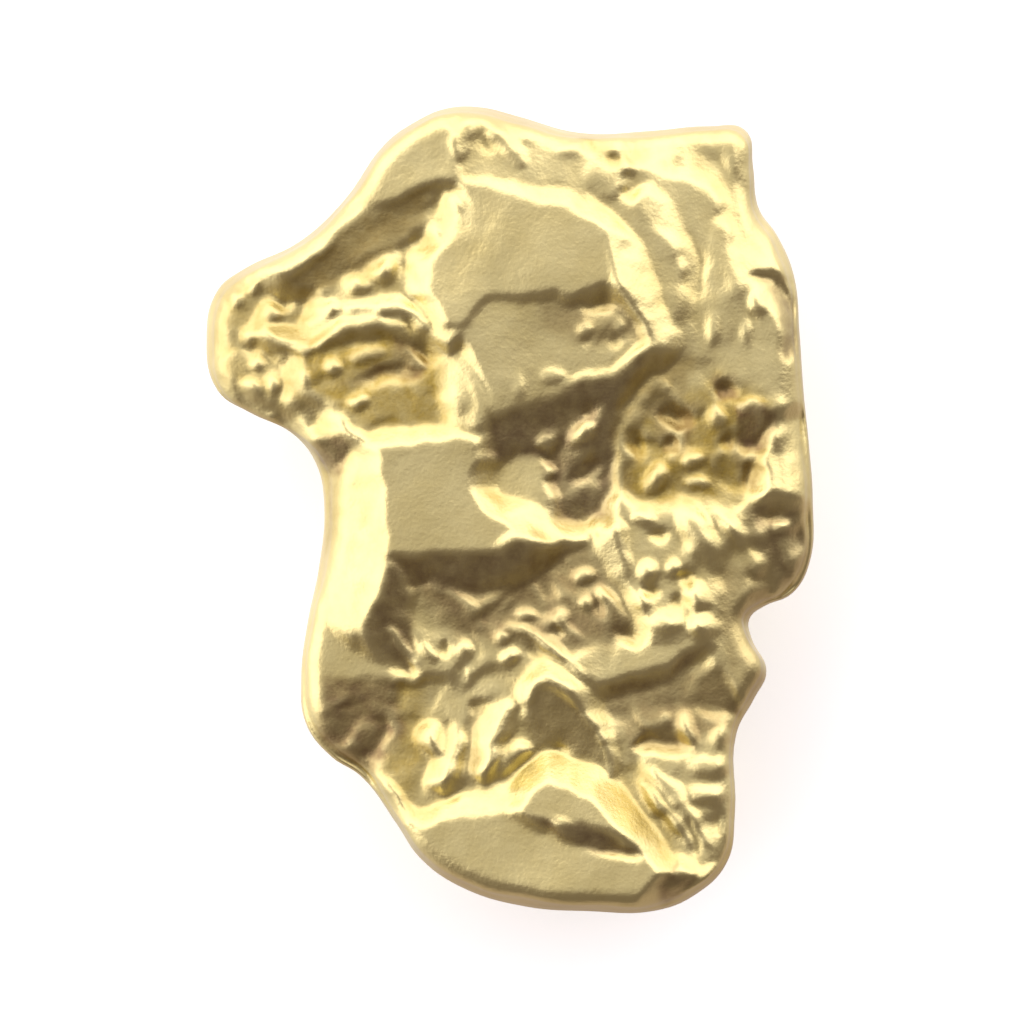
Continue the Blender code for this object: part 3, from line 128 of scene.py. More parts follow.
# Flats and slopes, painted in this order: name, height at the middle, rise to the east,
# rise to the north, width of the worn edge, corners
FLATS = [
    ("north shelf", 4.58, -0.05, -0.1, 0.5,
     [(-1.0, 6.5), (-1.2, 8.3), (2.4, 8.0), (2.3, 6.6), (1.9, 6.0), (1.0, 6.0)]),
    ("north east outer", 4.04, -0.04, -0.03, 0.5,
     [(2.4, 7.0), (2.4, 8.0), (5.2, 8.0), (5.6, 6.5), (6.4, 5.5), (6.4, 3.0), (5.6, 3.0),
      (5.5, 4.6), (4.9, 6.0), (4.2, 7.0), (3.2, 7.2)]),
    ("outer band", 4.18, -0.2, -0.2, 0.35,
     [(2.65, 6.85), (3.0, 7.05), (3.6, 7.15), (4.2, 6.95), (4.5, 6.6), (4.9, 6.1),
      (5.5, 5.45), (5.65, 4.7), (5.2, 4.6), (4.8, 4.6), (4.4, 4.3), (4.3, 4.9), (4.3, 5.6),
      (4.0, 5.75), (4.2, 6.1), (3.9, 6.5), (3.45, 6.7), (3.0, 6.7)]),
    ("outer valley", 4.34, -0.03, -0.03, 0.35,
     [(2.3, 6.6), (3.0, 6.7), (3.45, 6.7), (3.9, 6.5), (4.2, 6.1), (4.0, 5.75), (4.3, 5.6),
      (4.3, 4.9), (4.4, 4.3), (3.8, 4.1), (3.85, 4.9), (3.6, 5.5), (3.2, 6.1),
      (2.75, 6.35), (2.3, 6.2)]),
    ("inner band", 4.42, -0.28, -0.1, 0.25,
     [(2.35, 6.1), (2.7, 6.3), (3.15, 6.1), (3.55, 5.5), (3.85, 4.8), (3.85, 4.15),
      (3.5, 4.1), (3.45, 4.85), (3.0, 5.5), (2.6, 5.75)]),
    ("inner valley", 4.52, 0.0, 0.0, 0.3,
     [(1.6, 6.3), (2.3, 6.2), (2.6, 5.75), (3.0, 5.5), (3.45, 4.85), (3.5, 4.15),
      (3.3, 3.5), (2.9, 4.65), (2.3, 5.6)]),
    ("east flat", 4.32, -0.05, 0.06, 0.6,
     [(3.2, 3.3), (3.5, 4.1), (4.2, 4.2), (4.8, 3.8), (5.4, 3.9), (6.2, 3.7), (6.3, 2.2),
      (5.4, 2.3), (4.4, 2.9), (3.4, 3.0)]),
    ("west shoulder", 4.5, 0.3, -0.35, 0.4,
     [(-3.3, 6.4), (-2.8, 6.1), (-3.3, 5.75), (-3.7, 5.2), (-4.3, 4.7), (-4.8, 4.5),
      (-5.6, 4.9), (-4.2, 5.7)]),
    ("shoulder flat", 4.7, 0.06, -0.04, 0.2,
     [(-3.35, 6.05), (-3.15, 6.85), (-2.65, 7.45), (-2.1, 7.7), (-1.2, 7.55), (-1.05, 7.4),
      (-1.05, 6.6), (-1.5, 6.5), (-1.9, 6.35), (-2.5, 6.15)]),
    ("south shoulder", 4.46, 0.06, -0.03, 0.35,
     [(-4.0, 4.35), (-3.0, 4.85), (-2.1, 5.5), (-1.4, 6.2), (-0.8, 5.7), (-1.7, 5.0),
      (-1.7, 4.3), (-1.8, 3.7), (-3.2, 3.7), (-3.9, 3.6)]),
    ("facet west slope", 4.6, 0.35, -0.15, 0.25,
     [(-2.25, 5.3), (-2.1, 4.6), (-2.15, 4.1), (-1.9, 3.6), (-1.5, 3.3), (-1.2, 3.3),
      (-1.4, 4.0), (-1.6, 4.8), (-1.0, 5.4), (-0.7, 5.9), (-1.1, 6.3), (-1.5, 5.9)]),
    ("long groove", 4.5, -0.09, 0.21, 0.15,
     [(-4.9, 4.4), (-4.2, 4.65), (-3.7, 5.15), (-3.25, 5.73), (-2.75, 5.98), (-2.2, 6.15),
      (-1.7, 6.38), (-1.35, 6.3), (-1.7, 5.5), (-2.5, 5.1), (-3.18, 4.7), (-3.98, 4.25),
      (-4.7, 4.2)]),
    ("long groove foot", 4.5, -0.04, 0.1, 0.3,
     [(-3.1, 5.0), (-2.7, 5.5), (-2.0, 5.95), (-1.5, 6.05), (-1.7, 5.5), (-2.5, 5.1)]),
    ("horn", 4.05, 0.1, 0.0, 0.5,
     [(-6.3, 3.0), (-6.2, 4.6), (-5.0, 4.6), (-4.0, 4.2), (-3.6, 3.3), (-3.5, 1.6),
      (-4.6, 1.3), (-5.8, 1.9)]),
    ("horn south rim", 3.9, 0.05, 0.08, 0.2,
     [(-6.0, 2.75), (-5.55, 2.5), (-4.9, 2.15), (-4.35, 1.95), (-4.15, 1.5), (-5.3, 1.7),
      (-6.1, 2.1)]),
    ("basin floor", 4.45, 0.03, 0.02, 0.4,
     [(-4.3, 3.2), (-3.6, 3.4), (-3.0, 3.6), (-2.0, 3.7), (-1.2, 3.5), (-0.6, 2.8),
      (-0.3, 2.2), (-0.3, 1.0), (-1.6, 0.9), (-2.8, 1.1), (-3.6, 1.8), (-4.3, 2.4)]),
    ("basin north wall", 4.56, -0.06, 0.45, 0.12,
     [(-4.95, 3.6), (-4.3, 3.4), (-3.9, 3.35), (-3.5, 3.65), (-3.1, 3.78), (-2.7, 3.8),
      (-2.2, 3.7), (-1.7, 3.3), (-1.4, 2.95), (-1.65, 2.9), (-2.15, 3.35), (-2.7, 3.5),
      (-3.4, 3.35), (-4.1, 3.05), (-4.9, 3.35)]),
    ("basin east wall", 4.63, 0.25, 0.0, 0.4,
     [(-1.5, 3.3), (-1.1, 3.35), (-0.75, 2.95), (-0.5, 2.5), (-0.45, 1.9), (-0.5, 1.5),
      (-1.3, 1.5), (-1.5, 2.2)]),
    ("central facet", 4.85, 0.02, -0.02, 0.3,
     [(-0.95, 6.5), (-0.4, 6.42), (0.34, 6.3), (1.08, 6.15), (1.67, 5.85), (2.04, 5.5),
      (2.1, 4.4), (1.5, 4.2), (0.9, 4.2), (-0.4, 4.25), (-0.9, 3.9), (-1.3, 3.6),
      (-1.55, 3.75), (-1.7, 4.3), (-1.65, 4.9), (-1.4, 5.2), (-0.8, 5.5), (-0.6, 5.9)]),
    ("central facet west part", 4.84, 0.1, -0.07, 0.8,
     [(-1.6, 3.6), (-1.8, 4.9), (-1.2, 5.4), (-0.8, 6.3), (0.0, 6.2), (-0.1, 5.4),
      (-0.5, 4.8), (-0.5, 4.3), (-0.9, 3.9), (-1.3, 3.55)]),
    ("central facet east slope", 4.7, -0.6, -0.2, 0.15,
     [(2.04, 5.6), (2.35, 5.45), (2.6, 5.29), (2.9, 4.55), (3.23, 3.7), (3.4, 3.5),
      (3.16, 3.1), (2.86, 3.4), (2.41, 3.95), (2.12, 4.3), (2.0, 5.1)]),
    ("facet corner slope", 4.62, 0.4, -0.15, 0.25,
     [(-2.05, 4.2), (-1.7, 4.2), (-1.4, 3.65), (-0.95, 3.55), (-1.15, 3.2), (-1.6, 3.4),
      (-2.0, 3.8)]),
    ("second facet", 4.68, -0.06, 0.06, 0.15,
     [(-1.05, 3.6), (-0.6, 3.95), (-0.4, 4.2), (0.9, 4.2), (1.1, 4.0), (1.4, 4.1),
      (1.8, 4.25), (2.2, 4.1), (2.6, 3.6), (2.8, 3.35), (2.5, 3.2), (2.1, 2.8),
      (1.5, 2.75), (1.08, 2.6), (0.75, 2.25), (0.3, 2.1), (0.04, 1.95), (-0.35, 1.8),
      (-0.5, 2.0), (-0.5, 2.5), (-0.8, 3.0)]),
    ("hollow wall", 4.42, -0.08, 0.3, 0.15,
     [(-0.53, 1.05), (-0.46, 1.64), (-0.18, 1.85), (0.45, 2.0), (1.0, 2.48), (1.43, 2.7),
      (2.06, 2.7), (2.48, 3.18), (2.76, 3.35), (3.0, 3.07), (2.55, 2.69), (2.27, 2.2),
      (2.06, 1.57), (1.9, 1.08), (1.87, 0.5), (1.6, 0.2), (1.0, 0.3), (0.75, 0.5),
      (0.87, 0.8), (0.52, 1.08), (0.1, 1.22), (-0.25, 0.94)]),
    ("hollow foot", 4.03, -0.06, 0.2, 0.2,
     [(0.75, 0.5), (1.1, 0.6), (1.6, 0.5), (1.95, 0.5), (2.02, 0.1), (1.9, -0.22),
      (1.65, -0.12), (1.45, -0.3), (1.1, -0.38), (0.85, -0.12)]),
    ("inner lobe", 4.3, 0.05, 0.0, 0.25,
     [(-0.6, 0.2), (-0.5, 0.95), (-0.2, 0.9), (0.1, 1.15), (0.5, 1.05), (0.8, 0.8),
      (0.7, 0.5), (0.9, 0.25), (0.85, -0.2), (0.2, -0.3)]),
    ("third facet", 4.7, 0.0, 0.03, 0.2,
     [(-2.9, 1.35), (-2.8, 0.85), (-2.55, 0.4), (-2.6, -0.15), (-2.4, -0.75), (-1.8, -0.85),
      (-0.6, -0.8), (-0.1, -0.5), (0.1, -0.4), (-0.4, -0.05), (-0.6, 0.3), (-0.5, 0.8),
      (-0.4, 1.0), (-0.5, 1.45), (-1.2, 1.55), (-2.2, 1.45)]),
    ("inner lobe slope", 4.4, -0.34, -0.3, 0.2,
     [(-0.75, 0.55), (-0.5, 0.3), (-0.15, 0.1), (0.2, 0.05), (0.6, 0.1), (0.85, 0.05),
      (0.85, -0.3), (1.25, -0.4), (1.55, -0.45), (1.6, -0.6), (1.1, -0.6), (0.45, -0.5),
      (-0.1, -0.2), (-0.5, 0.15)]),
    ("west slope", 4.4, 0.45, 0.0, 0.2,
     [(-2.95, 1.3), (-2.75, 0.8), (-2.5, 0.35), (-2.55, -0.2), (-2.4, -0.8), (-2.6, -1.3),
      (-2.75, -1.7), (-2.85, -2.1), (-3.15, -2.65), (-3.45, -2.4), (-3.65, -1.7),
      (-3.9, -1.0), (-4.0, 0.0), (-3.2, 1.0)]),
    ("neck notch", 4.24, 0.1, 0.5, 0.12,
     [(-3.95, 1.5), (-3.3, 1.5), (-3.15, 1.2), (-3.3, 0.8), (-3.6, 0.75), (-3.95, 1.0)]),
    ("west khaki flat", 4.1, 0.0, 0.03, 0.3,
     [(-4.2, -1.6), (-3.7, -1.9), (-3.45, -2.5), (-3.1, -2.6), (-2.7, -3.0), (-2.0, -3.3),
      (-2.7, -3.45), (-3.3, -3.4), (-3.7, -3.7), (-4.3, -3.6)]),
    ("long wall", 4.45, 0.0, 0.6, 0.15,
     [(-2.5, -0.95), (-1.8, -0.95), (-0.9, -0.9), (-0.45, -0.85), (0.0, -0.65),
      (0.35, -0.5), (0.7, -0.7), (0.6, -1.0), (0.3, -1.3), (-0.35, -1.65), (-0.75, -1.95),
      (-1.3, -1.6), (-1.9, -1.6), (-2.3, -1.9)]),
    ("middle basin", 4.12, -0.02, 0.04, 0.4,
     [(-2.3, -1.6), (-1.0, -1.7), (0.0, -1.5), (0.6, -1.0), (1.5, -0.8), (2.1, -1.1),
      (2.6, -2.5), (2.0, -3.0), (1.2, -2.6), (0.3, -2.6), (-1.0, -3.4), (-2.2, -3.3)]),
    ("brown lobe", 4.16, 0.0, 0.2, 0.3,
     [(-1.95, -1.65), (-1.5, -1.5), (-1.1, -1.6), (-0.7, -2.0), (-0.4, -2.4), (-1.0, -2.5),
      (-1.6, -2.45), (-2.0, -2.2)]),
    ("west corner wall", 4.33, -0.36, 0.3, 0.15,
     [(-2.45, -0.95), (-2.6, -1.5), (-2.75, -1.9), (-3.0, -2.6), (-2.7, -2.95),
      (-2.35, -3.25), (-1.9, -3.25), (-2.0, -2.4), (-1.9, -1.65), (-2.1, -1.2)]),
    ("bead field", 4.2, -0.03, 0.02, 0.35,
     [(2.0, 0.1), (3.4, 0.3), (4.3, 0.2), (4.8, -0.4), (4.4, -1.3), (4.0, -2.65),
      (3.4, -2.7), (2.7, -2.6), (2.4, -1.9), (2.1, -1.2), (1.9, -0.8)]),
    ("bead field west slope", 4.18, 0.4, 0.3, 0.15,
     [(1.7, -0.3), (2.2, -0.3), (2.4, -1.5), (2.8, -2.4), (2.65, -2.6), (2.35, -2.2),
      (2.0, -1.4), (1.7, -0.7)]),
    ("basin east diagonal", 4.1, -0.25, 0.28, 0.15,
     [(1.7, -1.6), (1.95, -1.7), (2.3, -2.2), (2.65, -2.65), (2.2, -2.7), (1.8, -2.2)]),
    ("pale facet", 4.15, 0.02, -0.08, 0.2,
     [(1.3, -2.9), (1.9, -2.7), (2.6, -2.65), (3.3, -2.7), (3.9, -2.55), (3.5, -2.95),
      (3.1, -3.25), (2.6, -3.45), (1.8, -3.55)]),
    ("arc wall", 4.0, -0.2, 0.6, 0.12,
     [(3.95, -2.65), (3.5, -2.95), (3.15, -3.2), (2.6, -3.4), (1.8, -3.5), (1.75, -3.75),
      (2.6, -3.65), (3.2, -3.4), (3.7, -3.05), (4.0, -2.8)]),
    ("ground under the arc", 3.85, -0.03, 0.12, 0.3,
     [(1.8, -3.7), (2.6, -3.65), (3.2, -3.4), (3.8, -3.0), (3.7, -4.0), (2.9, -4.3),
      (2.1, -4.9)]),
    ("south east field", 3.85, -0.03, 0.0, 0.4,
     [(1.9, -4.2), (3.2, -4.0), (4.3, -4.0), (4.8, -4.3), (4.8, -7.2), (3.4, -7.4),
      (2.6, -6.6), (1.9, -5.2)]),
    ("heel valley", 3.8, 0.08, 0.0, 0.5,
     [(2.1, -4.7), (2.6, -4.9), (2.75, -5.5), (3.2, -6.2), (3.5, -6.9), (3.2, -7.2),
      (2.7, -6.7), (2.4, -6.1), (2.1, -5.5)]),
    ("dark triangle", 3.74, -0.05, 0.5, 0.12,
     [(2.5, -4.8), (2.75, -4.4), (3.05, -4.1), (3.35, -4.35), (3.6, -4.8)]),
    ("bowl", 4.18, 0.0, 0.08, 0.6,
     [(2.3, 2.0), (2.7, 2.9), (3.4, 3.0), (4.2, 2.8), (5.0, 2.3), (5.3, 1.6), (5.0, 0.5),
      (4.3, 0.0), (3.2, 0.1), (2.5, 0.1), (2.2, 0.8), (2.2, 1.5)]),
    ("bowl low slope", 4.12, -0.05, 0.2, 0.25,
     [(3.9, 1.2), (4.4, 1.1), (4.9, 1.0), (4.9, 0.4), (4.3, 0.4), (3.9, 0.7)]),
    ("bowl east pit", 4.14, 0.0, 0.4, 0.15,
     [(4.5, 2.05), (4.8, 2.2), (5.2, 2.05), (5.3, 1.5), (5.1, 1.15), (4.7, 1.1),
      (4.5, 1.5)]),
    ("east patch", 4.16, -0.3, -0.2, 0.25,
     [(5.0, 0.1), (5.0, 0.9), (5.2, 1.5), (5.6, 1.75), (6.4, 1.75), (6.4, 0.0),
      (5.7, 0.05)]),
    ("east lobe", 3.8, -0.15, 0.25, 0.4,
     [(4.7, 0.1), (5.8, 0.1), (6.4, -0.2), (6.4, -1.6), (5.6, -2.2), (4.9, -2.0),
      (4.9, -1.0), (4.6, -0.3)]),
    ("east saddle", 4.0, -0.12, 0.02, 0.4,
     [(4.4, -0.7), (5.0, -1.0), (4.9, -1.9), (4.9, -2.9), (4.1, -2.9), (4.1, -1.3)]),
    ("edge bump", 3.95, -0.1, 0.0, 0.4,
     [(4.1, -2.9), (5.4, -2.7), (5.6, -3.5), (4.8, -4.1), (4.4, -3.7)]),
    ("brown slope", 3.82, -0.1, 0.25, 0.3,
     [(3.7, -3.3), (4.2, -3.2), (4.5, -3.6), (4.7, -4.05), (3.9, -4.1), (3.5, -3.9)]),
    ("west lobe face", 3.95, -0.05, 0.14, 0.25,
     [(-3.75, -3.75), (-3.45, -3.45), (-2.9, -3.35), (-2.4, -3.45), (-2.15, -3.9),
      (-2.2, -4.5), (-2.5, -5.0), (-2.9, -5.4), (-3.8, -5.0), (-4.2, -4.4)]),
    ("trough", 3.93, 0.05, 0.03, 0.3,
     [(-2.2, -3.5), (-1.3, -3.4), (0.2, -3.3), (0.4, -4.8), (-0.2, -5.4), (-1.0, -5.75),
      (-1.7, -6.1), (-2.2, -5.9), (-2.7, -5.2), (-2.2, -4.6)]),
    ("west finger", 4.07, 0.38, -0.3, 0.12,
     [(-1.25, -4.2), (-0.95, -4.25), (-0.9, -4.6), (-1.1, -5.1), (-1.3, -5.55), (-1.6, -5.5),
      (-1.45, -5.0), (-1.3, -4.6)]),
    ("middle finger", 4.1, 0.38, -0.28, 0.12,
     [(-0.8, -3.85), (-0.55, -3.8), (-0.4, -3.95), (-0.15, -3.7), (0.05, -3.85),
      (-0.05, -4.4), (-0.25, -4.9), (-0.45, -5.35), (-0.75, -5.3), (-0.6, -4.8),
      (-0.7, -4.3)]),
    ("trough triangle", 4.08, 0.35, -0.3, 0.12,
     [(-1.9, -4.3), (-1.4, -4.25), (-1.4, -4.9), (-1.65, -4.8)]),
    ("dark pit", 4.05, 0.05, 0.3, 0.2,
     [(0.3, -3.7), (0.6, -3.5), (1.1, -3.75), (1.6, -4.2), (1.8, -4.6), (1.8, -5.0),
      (1.4, -5.0), (1.0, -4.75), (0.5, -4.9), (0.2, -4.4)]),
    ("bottom block", 4.27, 0.02, -0.04, 0.25,
     [(-1.9, -6.2), (-1.0, -6.1), (0.1, -6.0), (0.6, -5.2), (1.2, -5.1), (1.7, -5.6),
      (2.7, -6.7), (3.2, -7.2), (4.0, -7.4), (4.6, -7.2), (4.0, -8.3), (0.0, -8.4),
      (-2.0, -7.6), (-2.6, -6.4)]),
    ("arch slope", 4.17, 0.1, -0.45, 0.2,
     [(-1.75, -6.15), (-1.5, -5.95), (-0.9, -5.7), (-0.1, -5.4), (0.4, -5.0), (0.7, -4.85),
      (1.0, -4.8), (1.3, -5.0), (1.9, -5.6), (2.4, -6.3), (2.8, -6.9), (2.4, -6.65),
      (1.9, -6.15), (1.5, -5.6), (1.0, -5.35), (0.5, -5.5), (0.2, -5.9), (-0.2, -6.1)]),
    ("arch flat", 4.46, 0.02, -0.05, 0.2,
     [(0.0, -6.05), (0.15, -5.6), (0.45, -5.2), (0.75, -5.05), (1.15, -5.2), (1.5, -5.5),
      (1.95, -5.9), (2.5, -6.65), (1.6, -6.35), (1.0, -6.2), (0.2, -6.15)]),
    ("dark step", 4.38, -0.05, 0.5, 0.1,
     [(0.2, -6.12), (0.7, -6.15), (1.05, -6.15), (1.5, -6.3), (2.0, -6.5), (2.7, -6.85),
      (2.6, -6.97), (2.0, -6.85), (1.5, -6.75), (1.1, -6.6), (0.8, -6.3), (0.3, -6.22)]),
    ("heel dent", 3.95, -0.1, 0.45, 0.15,
     [(2.95, -7.45), (3.35, -7.0), (3.75, -7.15), (3.85, -7.5), (3.4, -7.9), (3.0, -8.2),
      (2.8, -7.9)]),
]

# Flats of the underside, as FLATS, with heights above the surface that it lies on
UNDER_FLATS = [
    ("horn underside", 1.1, -0.12, 0.05, 0.8,
     [(-6.3, 1.5), (-6.3, 5.0), (-3.6, 5.6), (-3.2, 3.0), (-3.6, 1.2)]),
    ("north underside", 0.7, 0.0, 0.15, 0.6,
     [(-3.0, 5.2), (-2.0, 8.3), (2.0, 8.2), (2.2, 5.6), (0.0, 5.0)]),
    ("north east underside", 0.9, 0.18, 0.1, 0.5,
     [(2.4, 4.6), (2.4, 8.2), (5.4, 8.0), (6.4, 5.0), (5.0, 3.6)]),
    ("east underside", 0.6, 0.2, 0.0, 0.5,
     [(3.8, 3.4), (6.4, 3.4), (6.4, -1.5), (4.0, -1.8)]),
    ("south underside", 0.55, 0.0, -0.12, 0.6,
     [(-1.8, -4.4), (-2.6, -6.0), (0.0, -8.4), (4.6, -7.6), (4.8, -4.0), (1.5, -4.4)]),
    ("west underside", 0.5, -0.2, 0.0, 0.5,
     [(-3.0, 0.0), (-4.4, 0.0), (-4.4, -4.4), (-2.6, -4.6), (-2.6, -2.0)]),
]
REST_PATCH = [(-2.2, -2.6), (-1.9, -1.2), (-2.7, 0.3), (-2.3, 1.9), (-2.4, 3.0),
              (-0.9, 3.3), (0.6, 4.3), (1.7, 3.6), (3.0, 3.3), (3.1, 2.0), (3.7, 0.8),
              (3.0, -0.5), (3.1, -2.2), (2.0, -2.6), (1.0, -3.7), (-0.6, -3.0)]

# Ridges (positive) and grooves (negative): name, height, half width, points
RIDGES = [
    ("hook ridge outer arm", 0.1, 0.26,
     [(-0.55, 7.75), (-0.85, 7.6), (-1.0, 7.35), (-0.98, 6.95)]),
    ("hook ridge inner arm", 0.09, 0.24,
     [(-0.55, 7.75), (-0.25, 7.45), (0.1, 7.0), (0.3, 6.8)]),
    ("dark hook", -0.2, 0.2, [(4.75, 4.6), (5.15, 4.55), (5.45, 4.2), (5.6, 3.9)]),
    ("edge nick", -0.2, 0.22, [(5.5, 4.1), (5.55, 3.5), (5.6, 3.0)]),
    ("bowl rim", 0.07, 0.22,
     [(3.05, 3.0), (2.75, 2.5), (2.5, 2.0), (2.3, 1.5), (2.2, 0.8), (2.2, 0.2)]),
    ("basin lip", 0.2, 0.24,
     [(-3.25, 3.95), (-2.8, 3.98), (-2.3, 4.0), (-2.0, 3.9), (-1.65, 3.55)]),
    ("neck ridge", 0.16, 0.18,
     [(-3.75, 1.85), (-3.4, 1.7), (-3.1, 1.45), (-2.8, 1.1)]),
    ("brown lobe rim", 0.05, 0.14,
     [(-1.9, -1.7), (-1.55, -1.52), (-1.1, -1.65), (-0.75, -1.98), (-0.35, -1.75),
      (0.0, -1.55), (0.35, -1.35), (0.6, -1.1)]),
    ("corner ridge", 0.16, 0.13, [(-2.42, -2.37), (-2.2, -2.7), (-1.85, -3.05)]),
    ("second corner ridge", 0.12, 0.12, [(-1.75, -2.6), (-1.5, -3.0)]),
    ("basin ridge one", 0.16, 0.14,
     [(-0.1, -2.3), (0.4, -2.5), (0.8, -2.8), (1.14, -3.05), (1.5, -3.45)]),
    ("basin ridge two", 0.16, 0.15,
     [(0.5, -3.3), (1.05, -3.55), (1.45, -3.9), (1.75, -4.25), (1.96, -4.8), (2.0, -5.3)]),
    ("east finger", 0.2, 0.16, [(0.4, -3.35), (0.3, -3.9)]),
    ("edge lip", 0.16, 0.16, [(-2.65, -5.3), (-2.3, -5.75), (-1.92, -6.25)]),
    ("heel ridge", 0.12, 0.18, [(2.55, -5.4), (2.9, -5.8), (3.2, -6.15), (3.7, -6.75)]),
    ("outer heel ridge", 0.1, 0.2, [(2.8, -5.2), (3.2, -5.65), (3.6, -6.2), (3.95, -6.7)]),
    ("heel dash", -0.12, 0.13, [(3.45, -6.2), (3.6, -6.5), (3.75, -6.9)]),
]

# Crumpled or beaded stretches: name, height, size of a lump, run of the lumps in degrees
# from the east, how much longer they are along that run, corners
CRUMPLES = [
    ("horn chips", 0.08, 0.5, 0, 1.0,
     [(-6.2, 2.4), (-6.2, 4.6), (-5.0, 4.8), (-4.0, 4.3), (-2.6, 4.5), (-2.2, 3.9),
      (-4.0, 3.6), (-3.3, 2.2), (-3.4, 1.2), (-4.3, 1.5), (-5.6, 2.0)]),
    ("basin lumps", 0.05, 0.6, 20, 1.3,
     [(-3.4, 1.7), (-3.5, 3.1), (-2.2, 3.5), (-1.2, 2.9), (-0.9, 1.8), (-2.2, 1.5)]),
    ("north chips", 0.015, 0.5, 0, 1.0,
     [(-1.0, 7.8), (-0.9, 6.7), (0.4, 6.5), (2.2, 6.0), (2.6, 7.5), (1.0, 7.6)]),
    ("south shoulder chips", 0.2, 0.4, 35, 1.6,
     [(-4.0, 4.2), (-3.0, 4.7), (-2.0, 5.4), (-1.5, 6.1), (-1.3, 5.8), (-1.95, 5.0),
      (-3.2, 4.0)]),
    ("north east wrinkles", 0.06, 0.5, 100, 2.4,
     [(2.4, 6.0), (2.4, 7.5), (4.6, 7.5), (5.6, 5.3), (5.7, 3.2), (3.2, 3.4), (2.8, 5.0)]),
    ("corner of the second facet", 0.07, 0.5, 20, 1.5,
     [(1.2, 3.3), (1.2, 4.1), (2.3, 4.2), (2.8, 3.5), (2.1, 3.1)]),
    ("hollow chips", 0.14, 0.6, 60, 1.5,
     [(0.6, 0.2), (0.9, 1.8), (1.8, 2.3), (2.0, 1.0), (1.8, -0.2), (0.9, -0.3)]),
    ("bowl lumps", 0.09, 0.62, 120, 1.2,
     [(2.3, 0.3), (2.4, 1.8), (3.2, 2.7), (4.6, 2.8), (5.3, 1.9), (5.0, 0.5), (3.8, 0.1)]),
    ("bead field chips", 0.04, 0.5, 150, 1.3,
     [(2.1, 0.0), (4.6, 0.1), (4.3, -1.4), (4.1, -2.7), (2.6, -2.6), (2.2, -1.2)]),
    ("middle basin crumple", 0.1, 0.5, -40, 1.9,
     [(-0.4, -1.9), (0.6, -1.1), (1.9, -0.9), (2.3, -2.4), (1.8, -3.5), (-1.2, -3.6),
      (-1.6, -2.9)]),
    ("trough crumple", 0.08, 0.5, 70, 2.4,
     [(-2.3, -3.7), (0.4, -3.7), (0.2, -5.2), (-1.6, -5.9), (-2.4, -5.3)]),
    ("heel crumple", 0.06, 0.6, -50, 1.5,
     [(2.0, -3.9), (3.2, -3.8), (4.4, -4.2), (4.4, -7.0), (3.0, -7.0), (2.1, -5.4)]),
    ("west lobe crumple", 0.1, 0.6, 0, 1.5,
     [(-3.9, -3.7), (-2.1, -3.6), (-2.0, -4.8), (-2.8, -5.2), (-3.9, -4.6)]),
    ("east lobe crumple", 0.16, 0.6, 100, 1.3,
     [(4.7, 0.0), (6.0, 0.0), (5.9, -1.5), (5.1, -1.9), (4.8, -1.2)]),
]

